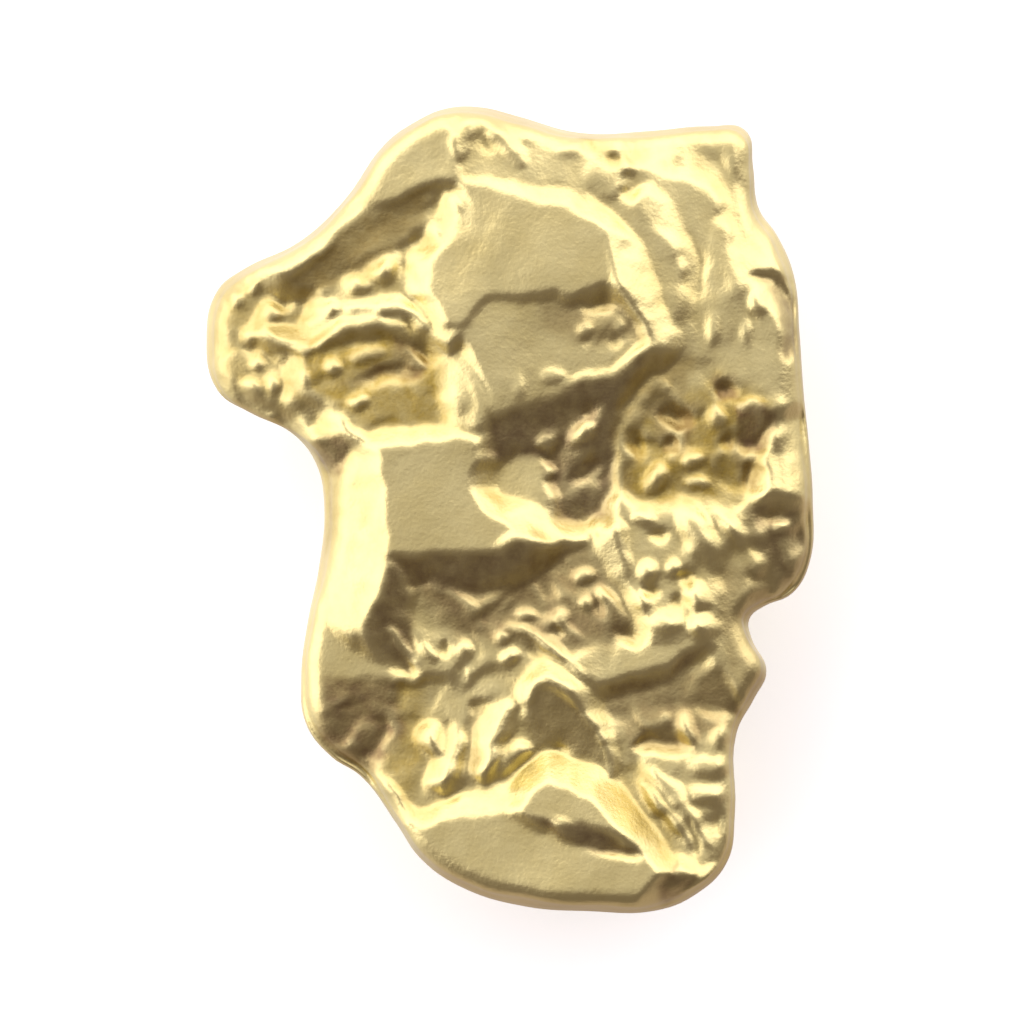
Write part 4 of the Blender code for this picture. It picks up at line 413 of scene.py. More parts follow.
# Beads (positive) and pits (negative): x, y, half length east, half length north,
# turn in degrees, height
BEADS = [
    # north shelf
    (0.4, 7.45, 0.3, 0.26, 0, 0.06), (1.15, 7.1, 0.3, 0.24, 20, 0.06),
    (1.7, 6.65, 0.42, 0.28, 10, 0.05), (1.55, 7.2, 0.17, 0.2, 0, -0.1),
    (2.05, 6.95, 0.26, 0.15, -35, -0.1), (-0.45, 7.25, 0.18, 0.26, 20, -0.05),
    # upper right side
    (4.9, 4.1, 0.26, 0.26, 0, 0.13), (4.0, 3.6, 0.18, 0.42, 0, 0.07),
    (4.68, 3.5, 0.15, 0.35, 0, 0.06),
    # horn
    (-5.33, 4.55, 0.2, 0.16, 0, 0.1), (-5.5, 4.18, 0.2, 0.2, 0, 0.12),
    (-5.1, 4.38, 0.18, 0.18, 0, 0.1), (-4.73, 3.9, 0.3, 0.26, 0, 0.16),
    (-5.18, 3.5, 0.2, 0.18, 0, 0.12), (-5.07, 2.92, 0.18, 0.18, 0, 0.1),
    (-5.14, 2.47, 0.28, 0.2, -30, 0.14), (-4.73, 2.47, 0.2, 0.18, 0, 0.12),
    (-4.4, 2.2, 0.26, 0.18, -30, 0.12), (-4.55, 3.0, 0.26, 0.15, -15, 0.12),
    (-4.1, 2.6, 0.22, 0.15, -30, 0.1), (-3.92, 3.68, 0.32, 0.26, 30, 0.18),
    (-3.58, 4.0, 0.26, 0.2, 30, 0.14), (-5.2, 3.25, 0.24, 0.1, -10, -0.12),
    # basin beside the horn
    (-3.47, 2.8, 0.22, 0.22, 0, 0.16), (-3.05, 2.15, 0.26, 0.2, 35, 0.14),
    (-2.85, 3.08, 0.5, 0.2, 10, 0.09), (-2.35, 2.68, 0.85, 0.18, 8, -0.1),
    (-1.15, 2.15, 0.3, 0.3, 0, 0.08),
    # south shoulder
    (-2.45, 4.7, 0.25, 0.3, 0, 0.14), (-3.0, 4.45, 0.3, 0.2, 20, 0.12),
    (-1.5, 5.5, 0.2, 0.26, 30, 0.14), (-1.1, 6.1, 0.34, 0.18, -50, 0.14),
    # second facet
    (0.85, 2.65, 0.28, 0.22, 0, 0.07), (0.2, 2.4, 0.16, 0.3, 0, 0.05),
    (1.45, 3.6, 0.26, 0.22, 0, 0.07), (2.2, 3.65, 0.2, 0.2, 0, 0.06),
    (1.5, 3.35, 0.16, 0.14, 0, -0.06), (2.1, 3.3, 0.22, 0.16, 0, -0.06),
    (1.8, 4.05, 0.5, 0.16, 0, -0.14),
    # hollow
    (1.4, 1.5, 0.42, 0.2, 35, 0.14), (0.7, 1.35, 0.3, 0.2, 20, 0.1),
    # bowl
    (3.3, 1.85, 0.46, 0.26, -10, -0.22), (3.2, 1.3, 0.24, 0.22, 0, -0.14),
    (4.3, 2.35, 0.27, 0.24, 0, -0.16), (4.37, 1.35, 0.24, 0.2, 0, -0.14),
    (2.45, 1.3, 0.2, 0.36, 10, -0.12), (4.8, 0.65, 0.18, 0.32, 0, -0.14),
    (2.9, 0.62, 0.24, 0.4, -25, 0.2), (3.65, 1.05, 0.3, 0.22, 20, 0.16),
    (3.7, 0.5, 0.3, 0.16, 0, 0.12), (4.1, 1.85, 0.2, 0.28, 30, 0.12),
    (3.0, 2.45, 0.26, 0.24, 0, 0.06), (5.3, 1.4, 0.3, 0.3, 0, 0.12),
    # bead field
    (2.95, -0.5, 0.26, 0.18, 0, -0.14), (2.6, -0.15, 0.24, 0.2, 0, 0.12),
    (3.7, -0.45, 0.34, 0.75, 28, 0.2), (4.35, -0.3, 0.5, 0.16, -38, 0.12),
    (3.6, -1.0, 0.2, 0.3, 0, 0.05), (2.7, -1.2, 0.28, 0.28, 0, 0.16),
    (3.25, -1.15, 0.26, 0.24, 0, 0.14), (3.7, -1.75, 0.26, 0.36, 0, 0.16),
    (3.75, -2.35, 0.34, 0.32, 0, 0.22), (2.65, -1.8, 0.2, 0.3, 20, 0.12),
    (3.1, -2.25, 0.36, 0.24, -20, 0.15), (2.8, -1.62, 0.28, 0.15, 0, -0.14),
    (3.5, -1.38, 0.26, 0.13, -30, -0.12), (3.35, -1.85, 0.2, 0.2, 0, -0.1),
    # east lobe
    (5.1, -0.2, 0.3, 0.3, 0, -0.12), (5.7, -0.6, 0.22, 0.34, 0, -0.16),
    (5.3, -0.35, 0.34, 0.14, 0, 0.1),
    # middle basin
    (1.5, -1.35, 0.3, 0.16, 0, 0.12), (1.5, -1.85, 0.18, 0.16, -40, 0.1),
    (0.32, -2.13, 0.28, 0.13, -10, 0.12), (1.06, -2.17, 0.2, 0.18, 0, 0.12),
    (0.95, -2.45, 0.22, 0.16, 0, -0.1), (-0.05, -2.95, 0.18, 0.17, 0, 0.14),
    (-0.17, -2.55, 0.16, 0.2, 0, 0.1), (-0.87, -2.85, 0.28, 0.22, 0, 0.12),
    (-1.32, -2.75, 0.12, 0.24, 0, -0.12), (-1.0, -3.25, 0.24, 0.22, 0, -0.12),
    # west lobe
    (-2.85, -4.38, 0.32, 0.28, 0, 0.05), (-2.85, -4.9, 0.4, 0.2, 0, -0.05),
    # feet of the fingers
    (-1.65, -4.55, 0.24, 0.3, 20, 0.14), (0.15, -4.8, 0.3, 0.22, 20, 0.14),
    (-1.15, -5.4, 0.26, 0.34, 0, 0.1), (-0.12, -5.05, 0.3, 0.36, 0, 0.12),
    # heel
    (3.55, -4.4, 0.2, 0.4, 10, 0.14), (3.95, -5.15, 0.55, 0.28, 0, 0.12),
    (3.9, -5.72, 0.48, 0.24, 0, 0.12), (4.2, -4.5, 0.2, 0.25, 0, 0.1),
    (4.15, -6.2, 0.14, 0.34, 0, -0.12),
]

# Painted shade on the gold: name, share of brown (partly iron stain), share of olive
# (painted gold-on-gold reflection too), width of the soft edge, corners
STAINS_AND_SHADE = [
    ("long groove", 0.34, 0.7, 0.3,
     [(-4.85, 4.4), (-4.2, 4.65), (-3.6, 5.4), (-2.3, 6.2), (-1.5, 6.5), (-1.7, 5.6),
      (-3.0, 4.7), (-4.0, 4.15)]),
    ("horn", 0.1, 0.6, 0.5,
     [(-5.9, 4.3), (-5.0, 4.5), (-4.0, 3.9), (-3.6, 2.2), (-4.4, 1.9), (-5.7, 2.6)]),
    ("south shoulder", 0.0, 0.6, 0.4,
     [(-3.2, 4.9), (-2.3, 5.0), (-2.0, 4.3), (-3.2, 4.2)]),
    ("basin", 0.1, 1.0, 0.4,
     [(-4.6, 3.2), (-3.4, 3.6), (-2.0, 3.7), (-1.4, 3.1), (-1.3, 1.7), (-2.8, 1.6),
      (-3.9, 2.3)]),
    ("basin comma", 0.7, 0.5, 0.2,
     [(-3.3, 2.5), (-2.7, 2.85), (-2.3, 2.9), (-2.35, 3.5), (-1.9, 3.4), (-1.6, 2.9),
      (-1.8, 2.6), (-2.6, 2.6), (-3.2, 2.45)]),
    ("north pits", 0.1, 0.8, 0.3, [(1.4, 7.4), (2.0, 7.2), (2.4, 6.8), (1.9, 6.9)]),
    ("corner of the second facet", 0.4, 0.3, 0.3,
     [(0.6, 4.1), (2.2, 4.3), (2.7, 3.4), (1.6, 3.2), (0.6, 3.6)]),
    ("hollow", 0.75, 0.1, 0.3,
     [(-0.5, 1.0), (-0.4, 1.8), (0.6, 2.1), (1.4, 2.7), (2.1, 2.7), (2.8, 3.35), (2.2, 2.0),
      (1.95, -0.2), (0.9, -0.25), (0.6, 1.0)]),
    ("bowl rim", 0.3, 0.6, 0.3,
     [(2.0, 1.4), (2.2, 2.4), (2.9, 3.1), (3.6, 3.0), (3.4, 2.0), (2.6, 1.8), (2.5, 0.2),
      (2.1, 0.2)]),
    ("bowl", 0.1, 1.0, 0.4,
     [(2.2, 1.7), (3.0, 2.1), (4.2, 2.7), (5.2, 2.2), (5.1, 0.9), (4.6, 0.2), (3.0, 0.1),
      (2.2, 0.3)]),
    ("bowl pits", 0.9, 0.3, 0.2,
     [(4.45, 2.0), (4.75, 2.15), (5.25, 2.0), (5.3, 1.3), (4.9, 1.05), (4.55, 1.2)]),
    ("north pit of the bowl", 0.8, 0.4, 0.2, [(4.0, 2.6), (4.5, 2.7), (4.6, 2.2), (4.1, 2.1)]),
    ("west pits of the bowl", 0.6, 0.6, 0.2,
     [(2.85, 2.05), (3.7, 2.1), (3.75, 1.65), (3.4, 1.1), (3.0, 1.15)]),
    ("south pits of the bowl", 0.5, 0.6, 0.2,
     [(4.1, 1.5), (4.6, 1.4), (5.0, 0.9), (4.9, 0.4), (4.6, 0.5), (4.5, 1.0)]),
    ("east side", 0.6, 0.2, 0.2,
     [(4.8, 4.7), (5.3, 4.6), (5.8, 4.2), (5.9, 3.0), (5.4, 3.0), (5.3, 4.1)]),
    ("west side", 0.1, 0.6, 0.3,
     [(-3.95, 0.9), (-3.35, 0.8), (-3.35, -0.2), (-3.6, -0.9), (-3.95, -0.6)]),
    ("neck notch", 0.7, 0.3, 0.2, [(-3.85, 1.5), (-3.2, 1.4), (-3.4, 0.6), (-3.9, 0.9)]),
    ("west of the bowl", 0.6, 0.5, 0.3,
     [(2.7, 2.1), (3.8, 2.2), (3.6, 1.2), (2.9, 1.3)]),
    ("east lobe", 0.65, 0.1, 0.4,
     [(4.7, 0.1), (5.7, 0.0), (6.0, -0.9), (5.4, -1.7), (4.9, -0.8)]),
    ("east saddle", 0.35, 0.25, 0.4,
     [(4.2, -1.2), (4.9, -1.0), (5.6, -1.9), (5.1, -4.0), (4.3, -3.7)]),
    ("long wall", 0.7, 0.1, 0.3,
     [(-2.5, -0.95), (-0.4, -0.85), (0.5, -0.5), (0.6, -1.2), (-0.6, -1.9), (-2.0, -1.6),
      (-2.0, -3.2), (-3.0, -2.6), (-2.5, -1.5)]),
    ("middle basin", 0.65, 0.45, 0.5,
     [(-2.0, -1.6), (0.4, -1.2), (0.7, -0.7), (1.5, -0.8), (2.0, -1.5), (2.5, -2.6),
      (1.4, -2.8), (-1.0, -2.6)]),
    ("west lobe", 0.8, 0.6, 0.3,
     [(-3.7, -3.4), (-2.3, -3.4), (-2.1, -4.4), (-2.7, -5.3), (-3.9, -4.8)]),
    ("trough", 0.1, 0.85, 0.5,
     [(-2.3, -3.3), (-1.7, -3.3), (-1.75, -5.2), (-2.0, -6.0), (-2.6, -5.2)]),
    ("finger gaps", 0.3, 0.3, 0.15,
     [(-0.85, -3.6), (-0.8, -4.8), (-1.1, -5.5), (-0.8, -5.5), (-0.55, -4.8), (-0.6, -4.0)]),
    ("arc wall", 0.65, 0.2, 0.2,
     [(3.95, -2.7), (3.4, -3.0), (3.0, -3.3), (1.9, -3.5), (1.9, -3.75), (2.7, -3.65),
      (3.5, -3.25)]),
    ("ground under the arc", 0.55, 0.4, 0.4,
     [(1.8, -3.7), (3.0, -3.4), (4.2, -3.1), (4.6, -4.0), (3.6, -4.9), (2.4, -4.8)]),
    ("dark pit", 0.3, 0.2, 0.25,
     [(0.4, -3.6), (1.1, -3.8), (1.6, -4.2), (1.8, -5.0), (1.2, -4.8), (0.4, -4.6)]),
    ("heel valley", 0.05, 0.55, 0.3,
     [(2.0, -5.0), (2.6, -5.0), (3.3, -6.3), (3.3, -7.1), (2.5, -6.5)]),
    ("dark step", 0.75, 0.1, 0.15,
     [(0.3, -6.1), (1.6, -6.3), (2.8, -6.9), (1.7, -6.85), (0.7, -6.35)]),
    ("heel dent", 0.7, 0.2, 0.2, [(2.95, -7.5), (3.35, -7.0), (3.8, -7.3), (3.1, -8.0)]),
]

# Marks that show the material where hollows get painted shade and where edges are
# rubbed: name, rounds of averaging that give a point's surroundings, and how far below
# them (above them if negative) the point lies when its mark is full, in millimetres
MARKS = [
    ("hollow", 30, 0.1),
    ("edge", 5, -0.022),
]

# Patterns of the gold, in millimetres
CLOUD = 0.4              # patches in which the painted shade, partly iron stain, comes and goes
WIDE_CLOUD = 1.2         # clouds of slightly deeper gold on the flats
DINT = 0.25              # dints of gravel
DINT_DEPTH = 0.03
GRAIN = 0.07             # grain left by finer grit
GRAIN_DEPTH = 0.012
HOLLOW_SHADE_SHARE = 0.6       # how far painted shade deepens the gold in a hollow without olive

# Light of the studio, as strengths and tints
OVERHEAD_LIGHT = 0.52
PANEL_LIGHT = 1.85
CARD_LIGHT = 0.18
BACKDROP_LIGHT = 0.95
TABLE_LIGHT = (1.2, 0.44)            # away from the dark card and beside it
PANEL_TINT = (1.0, 0.92, 1.0, 1.0)
CARD_TINT = (1.0, 0.8, 0.8, 1.0)
FLOOR_GLOW = 0.45
FLOOR_GLOW_TINT = (1.0, 1.0, 0.99, 1.0)

# Where the lights begin and end: a top and the horizon as the height of a direction, from
# 0 on the level to 1 overhead, and sides as how far a direction leans towards the card
CARD_DIRECTION = (0.39, -0.92, 0.0)
CARD_SIDES = (0.3, 0.66)
CARD_TOP = (0.88, 0.985)
PANEL_SIDES = (0.0, 0.42)
PANEL_TOP = (0.8, 0.97)
TABLE_SIDES = (-0.6, 0.9)
HORIZON = (-0.3, 0.1)
OVER_ONE = 1.0001        # a hair over 1, which keeps a direction's level part above zero

# The point that the camera looks straight down on, in millimetres
VIEW_POINT = (0.04, -0.04, 3.5)

# Settings that several nodes share
MULTIPLY = {"operation": "MULTIPLY"}
SMOOTH = {"interpolation_type": "SMOOTHSTEP"}
FLOATS = {"data_type": "FLOAT"}
COLOURS = {"data_type": "RGBA"}
FIRST = 6                # inputs of a colour mix that take its two colours
SECOND = 7


def from_hex(colour):
    """An sRGB hex colour as linear red, green and blue."""
    parts = [int(colour[place:place + 2], 16) / 255 for place in (0, 2, 4)]
    return [part / 12.92 if part <= 0.04045 else ((part + 0.055) / 1.055) ** 2.4
            for part in parts]


class NuggetShape(bpy.types.PropertyGroup):
    """Sizes of the nugget."""

    slab_height: FloatProperty(
        name="Thickness", description="Thickness of the lump before the relief is worked in",
        default=0.0052, unit="LENGTH")
    edge_rounding: FloatProperty(
        name="Edge rounding", description="Radius of the lump's worn edges",
        default=0.0003, unit="LENGTH")
    belt_height: FloatProperty(
        name="Belt height", description="Mean height of the widest level of the sides",
        default=0.0029, unit="LENGTH")
    lower_tuck: FloatProperty(
        name="Lower tuck", description="How far the sides draw in towards the underside",
        default=0.001, unit="LENGTH")
    facet: FloatProperty(
        name="Facet", description="Size of the facets that carry the relief",
        default=0.00007, unit="LENGTH")


class GoldFinish(bpy.types.PropertyGroup):
    """Colours and sheen of the gold."""

    polished: FloatVectorProperty(
        name="Polished gold", description="Colour of the rubbed flats and edges",
        default=from_hex("f7eaa4"), subtype="COLOR", size=3)
    # a real deeper tone on the flats, and also painted shade and painted gold-on-gold
    # reflection in the hollows and olive patches
    deep_gold_and_shade: FloatVectorProperty(
        name="Sheltered gold", description="Deeper colour of the gold under olive clay",
        default=from_hex("c0a951"), subtype="COLOR", size=3)
    # painted shade: brown for walls turned away from the light, partly iron stain
    brown_shade_and_stain: FloatVectorProperty(
        name="Iron stain", description="Colour of gold under a film of iron oxide",
        default=from_hex("8f7758"), subtype="COLOR", size=3)
    roughness: FloatProperty(
        name="Roughness", description="Roughness of the rubbed gold",
        default=0.34, min=0.0, max=1.0, subtype="FACTOR")
    pit_roughness: FloatProperty(
        name="Roughness in pits", description="Roughness of the gold inside the pits",
        default=0.46, min=0.0, max=1.0, subtype="FACTOR")


class StudioSettings(bpy.types.PropertyGroup):
    """Floor, light and camera."""

    floor_colour: FloatVectorProperty(
        name="Floor", description="Colour of the plain floor",
        default=from_hex("f4f4f2"), subtype="COLOR", size=3)
    floor_size: FloatProperty(
        name="Floor size", description="Side of the square floor",
        default=1.2, unit="LENGTH")
    lens: FloatProperty(
        name="Lens", description="Focal length of the camera",
        default=250.0, min=1.0, unit="CAMERA")
    field: FloatProperty(
        name="Field", description="Width that the picture covers at the nugget",
        default=0.02048, unit="LENGTH")


def smooth_step(value):
    """Worn blend from 0 to 1."""
    value = np.clip(value, 0.0, 1.0)
    return value * value * (3.0 - 2.0 * value)


def distance_and_share(x, y, points):
    """Distance from each place to a run of stretches, and how far along it the place is."""
    best = np.full(x.shape, FAR)
    share = np.zeros(x.shape)
    lengths = [math.dist(a, b) for a, b in zip(points, points[1:])]
    before = 0.0
    for (ax, ay), (bx, by), length in zip(points, points[1:], lengths):
        dx = bx - ax
        dy = by - ay
        along = np.clip(((x - ax) * dx + (y - ay) * dy) / (dx * dx + dy * dy), 0.0, 1.0)
        distance = np.hypot(x - ax - along * dx, y - ay - along * dy)
        nearer = distance < best
        best[nearer] = distance[nearer]
        share[nearer] = (before + along[nearer] * length) / sum(lengths)
        before += length
    return best, share


def inside(x, y, points):
    """True where a place lies inside a closed outline."""
    result = np.zeros(x.shape, bool)
    for (ax, ay), (bx, by) in zip(points, points[1:] + points[:1]):
        if ay == by:
            continue
        crosses = (ay > y) != (by > y)
        result ^= crosses & (x < ax + (bx - ax) * (y - ay) / (by - ay))
    return result


def depth_inside(x, y, corners):
    """How deep each place lies inside a closed outline, negative outside it."""
    edge, _ = distance_and_share(x, y, corners + corners[:1])
    return np.where(inside(x, y, corners), edge, -edge)


def cover(x, y, corners, worn):
    """How far each place lies inside an outline with a worn edge, from 0 to 1."""
    return smooth_step(0.5 + depth_inside(x, y, corners) / worn)


def noise_at(x, y, size, seed):
    """Smooth seeded noise, about -1 to 1, for places of the upper side."""
    return np.array([noise.noise((a / size, b / size, seed)) for a, b in zip(x, y)])


def crumple(x, y, size, run, stretch):
    """Chips with flat faces that lean at random, meeting in worn edges."""
    turned = math.radians(run)
    along = (x * math.cos(turned) + y * math.sin(turned)) / (size * stretch)
    across = (y * math.cos(turned) - x * math.sin(turned)) / size
    height = np.empty(x.shape)
    for index, (a, b) in enumerate(zip(along, across)):
        distances, chips = noise.voronoi((a, b, SEED))
        total = 0.0
        share_sum = 0.0
        for distance, chip in zip(distances, chips):
            share = math.exp(-CHIP_SHARPNESS * (distance - distances[0]))
            lean = noise.cell_vector(chip * CHIP_SPREAD)
            total += share * (2 * (lean.x - 0.5) * (a - chip.x)
                              + 2 * (lean.y - 0.5) * (b - chip.y)
                              + CHIP_STEP * (lean.z - 0.5))
            share_sum += share
        height[index] = total / share_sum
    return height


def paint_flats(x, y, flats):
    """Lay the sloping flats one over another, on ground that passes smoothly between them."""
    planes = []
    ground = np.zeros(x.shape)
    share_sum = np.zeros(x.shape)
    for _, middle, east, north, worn, corners in flats:
        middle_x = sum(corner[0] for corner in corners) / len(corners)
        middle_y = sum(corner[1] for corner in corners) / len(corners)
        plane = middle + east * (x - middle_x) + north * (y - middle_y)
        depth = depth_inside(x, y, corners)
        share = 1.0 / (np.maximum(-depth, 0.0) + GROUND_REACH) ** GROUND_FALLOFF
        ground += share * plane
        share_sum += share
        planes.append((plane, smooth_step(0.5 + depth / worn)))
    height = ground / share_sum
    for plane, laid in planes:
        height = height + (plane - height) * laid
    return height


def waver(x, y):
    """Places moved a little, so that edges laid out as straight lines come out uneven."""
    wide, fine = WAVER_SIZES
    east, north = (noise_at(x, y, wide, first) + FINE_WAVER * noise_at(x, y, fine, second)
                   for first, second in WAVER_SEEDS)
    return x + EDGE_WAVER * east, y + EDGE_WAVER * north


def wear(height):
    """Rub back every slope steeper than STEEPEST, by moving gold from its top to its foot."""
    limit = STEEPEST * GRID
    for _ in range(WEAR_PASSES):
        for across in (0, 1):
            step = np.diff(height, axis=across)
            surplus = step - np.clip(step, -limit, limit)
            shift = WEAR_SHARE * surplus
            if across == 0:
                height[1:] -= shift
                height[:-1] += shift
            else:
                height[:, 1:] -= shift
                height[:, :-1] += shift
    return height


def soften(height):
    """The height averaged lightly with its neighbours, which rounds the sharp creases."""
    height[1:-1] = 0.25 * (height[:-2] + height[2:]) + 0.5 * height[1:-1]
    height[:, 1:-1] = 0.25 * (height[:, :-2] + height[:, 2:]) + 0.5 * height[:, 1:-1]
    return height


def relief(x, y):
    """Height of the upper side, in millimetres, at places given in millimetres."""
    swell = SWELL * noise_at(x, y, SWELL_SIZE, SWELL_SEED)
    x, y = waver(x, y)
    height = paint_flats(x, y, FLATS) + swell
    for _, rise, size, run, stretch, corners in CRUMPLES:
        share = cover(x, y, corners, CHIP_FADE)
        here = share > 0
        height[here] += rise * share[here] * crumple(x[here], y[here], size, run, stretch)
    uneven = 1.0 + RIDGE_UNEVENNESS * noise_at(x, y, RIDGE_SWELL_SIZE, RIDGE_SEED)
    for _, rise, half_width, points in RIDGES:
        distance, share = distance_and_share(x, y, points)
        middle = np.sqrt(np.sin(np.pi * np.clip(share, 0.0, 1.0)))
        fullness = RIDGE_END + (1.0 - RIDGE_END) * middle
        reach = np.clip(distance / (half_width * fullness * uneven), 0.0, 1.0)
        height = height + rise * fullness * uneven * (1.0 - reach ** 2) ** RIDGE_FLANK
    for bead_x, bead_y, half_east, half_north, turn, rise in BEADS:
        turned = math.radians(turn)
        along = (x - bead_x) * math.cos(turned) + (y - bead_y) * math.sin(turned)
        across = (y - bead_y) * math.cos(turned) - (x - bead_x) * math.sin(turned)
        reach = np.clip((along / half_east) ** 2 + (across / half_north) ** 2, 0.0, 1.0)
        height = height + rise * (1.0 - reach) ** BEAD_FLANK
    return height


def worn_relief(x, y):
    """Height of the top above the resting plane at (x, y) in mm, after wear."""
    east = np.arange(-GRID_REACH[0], GRID_REACH[0] + GRID, GRID)
    north = np.arange(-GRID_REACH[1], GRID_REACH[1] + GRID, GRID)
    grid_x, grid_y = np.meshgrid(east, north)
    height = relief(grid_x.ravel(), grid_y.ravel()).reshape(grid_x.shape)
    height = soften(wear(height))

    # read between the four nearest places of the grid, just short of its far edges
    column = np.clip((x - east[0]) / GRID, 0, len(east) - 1.001)
    row = np.clip((y - north[0]) / GRID, 0, len(north) - 1.001)
    left = column.astype(int)
    low = row.astype(int)
    share_x = column - left
    share_y = row - low
    lower = height[low, left] * (1 - share_x) + height[low, left + 1] * share_x
    upper = height[low + 1, left] * (1 - share_x) + height[low + 1, left + 1] * share_x
    return lower * (1 - share_y) + upper * share_y


def underside(x, y):
    """Height of the underside above the surface that it lies on."""
    height = paint_flats(x, y, UNDER_FLATS)
    for rise, size, run in UNDERSIDE_CHIPS:
        height = height + rise * crumple(x, y, size, run, UNDERSIDE_STRETCH)
    rest = cover(x, y, REST_PATCH, REST_EDGE)
    return np.maximum(height, LEAST_GAP) * (1.0 - rest)


def lumps(places, size, seed):
    """Smooth seeded noise, about -1 to 1, for an array of places in millimetres."""
    shift = Vector((seed, SEED, -seed))
    return np.array([noise.noise(Vector(place) / size + shift) for place in places])


def stain_and_shade(x, y):
    """Shares of the brown painted shade, partly iron stain, and of the olive painted shade, at
    places of the upper side.
    """
    x, y = waver(x, y)
    brown = np.zeros(x.shape)
    olive = np.zeros(x.shape)
    for _, brown_share, olive_share, worn, corners in STAINS_AND_SHADE:
        laid = cover(x, y, corners, worn)
        brown = np.maximum(brown, brown_share * laid)
        olive = np.maximum(olive, olive_share * laid)
    return brown, olive


def evaluated_mesh(thing):
    """What the object's modifiers show, as a mesh of its own."""
    bpy.context.view_layer.update()
    seen = thing.evaluated_get(bpy.context.evaluated_depsgraph_get())
    return bpy.data.meshes.new_from_object(seen)


def point_values(mesh, name):
    """The places or the normals of a mesh's points, one row for each."""
    values = np.empty(len(mesh.vertices) * 3, dtype=np.float32)
    mesh.vertices.foreach_get(name, values)
    return values.reshape(-1, 3)


def mark(lump, name, values):
    """Keep one value for each point of the mesh, for the material to read."""
    attribute = lump.data.attributes.new(name, "FLOAT", "POINT")
    attribute.data.foreach_set("value", np.ascontiguousarray(values, dtype=np.float32))


def plain_lump(shape):
    """The outline as a flat slab with worn edges, as one even mesh of small facets."""
    curve = bpy.data.curves.new("outline", "CURVE")
    curve.dimensions = "2D"
    curve.fill_mode = "BOTH"
    curve.extrude = shape.slab_height / 2 - shape.edge_rounding
    curve.bevel_depth = shape.edge_rounding
    curve.bevel_resolution = 5
    curve.offset = -shape.edge_rounding
    curve.resolution_u = 6
    spline = curve.splines.new("BEZIER")
    spline.bezier_points.add(len(OUTLINE) - 1)
    spline.use_cyclic_u = True
    for point, (x, y) in zip(spline.bezier_points, OUTLINE):
        point.co = (x * MM, y * MM, 0.0)
        point.handle_left_type = "AUTO"
        point.handle_right_type = "AUTO"
    slab = bpy.data.objects.new("slab", curve)
    bpy.context.scene.collection.objects.link(slab)
    slab.location.z = shape.slab_height / 2
    mesh = evaluated_mesh(slab)
    mesh.transform(slab.matrix_world)
    bpy.data.objects.remove(slab, do_unlink=True)
    welded = bmesh.new()
    welded.from_mesh(mesh)
    bmesh.ops.remove_doubles(welded, verts=welded.verts, dist=0.001 * MM)
    welded.to_mesh(mesh)
    welded.free()
    lump = bpy.data.objects.new("gold_nugget", mesh)
    bpy.context.scene.collection.objects.link(lump)
    remesh = lump.modifiers.new("even facets", "REMESH")
    remesh.mode = "VOXEL"
    remesh.voxel_size = shape.facet
    lump.data = evaluated_mesh(lump)
    lump.modifiers.clear()
    bpy.data.meshes.remove(mesh)
    return lump


def belt_round(places, shape):
    """Height of the belt, where the lump is widest, as it rises and falls round the sides."""
    angle = np.arctan2(places[:, 1], places[:, 0])
    waves = sum(share * np.sin(number * angle + start) for share, number, start in BELT_WAVES)
    shares = sum(share for share, _, _ in BELT_WAVES)
    return shape.belt_height / MM + BELT_WANDER * waves / shares


def draw_in(places, belt, shape):
    """Share of its way from the middle at which a place ends, once the sides are tucked."""
    x, y, z = places.T
    near_side = np.exp(-((depth_inside(x, y, OUTLINE) / SIDE_REACH) ** 2))
    above = np.clip((z - belt) / (shape.slab_height / MM - belt), 0.0, 1.0)
    below = np.clip((belt - z) / belt, 0.0, 1.0)
    tuck = UPPER_TUCK * above ** 2 + shape.lower_tuck / MM * below ** 2
    dents = SIDE_DENT_MEAN
    for share, size, seed in SIDE_DENT_LAYERS:
        dents = dents + share * lumps(places, size, seed)
    dent = SIDE_DENTS * dents * (below + UPPER_DENT_SHARE * above)
    return 1.0 - (tuck + dent) * near_side / np.maximum(np.hypot(x, y), 1.0)


def shape_lump(lump, shape):
    """Draw the sides in, then work the relief of both faces into the plain lump."""
    places = point_values(lump.data, "co").astype(float) / MM
    slab_height = shape.slab_height / MM
    belt = belt_round(places, shape)
    x, y, z = places.T
    kept = draw_in(places, belt, shape)
    x = x * kept
    y = y * kept

    upper = smooth_step((z - belt) / (slab_height - belt))
    lower = smooth_step((belt - z) / belt)
    z = z + upper * (worn_relief(x, y) - slab_height) + lower * underside(x, y)
    z[z < REST_FLATNESS] = 0.0

    # brown and olive painted shade, the brown partly iron stain, kept on the points for the
    # material
    for name, share in zip(("brown", "olive"), stain_and_shade(x, y)):
        mark(lump, name, share * upper)
    shaped = np.column_stack((x, y, z))
    middle = (shaped.min(axis=0) + shaped.max(axis=0)) / 2
    shaped[:, :2] -= middle[:2]
    shaped *= MM
    lump.data.vertices.foreach_set("co", shaped.ravel())
    lump.data.update()


def thin_underside(lump, shape):
    """Join the facets of the plainer underside, to keep the whole lump light."""
    below = lump.vertex_groups.new(name="below the belt")
    top = THINNED_BELOW * shape.belt_height
    low = [point.index for point in lump.data.vertices if point.co.z < top]
    below.add(low, 1.0, "REPLACE")
    fewer = lump.modifiers.new("fewer facets below", "DECIMATE")
    fewer.ratio = FACETS_LEFT
    fewer.vertex_group = below.name
    fewer.use_collapse_triangulate = True
    fine = lump.data
    lump.data = evaluated_mesh(lump)
    lump.modifiers.clear()
    lump.vertex_groups.clear()
    bpy.data.meshes.remove(fine)


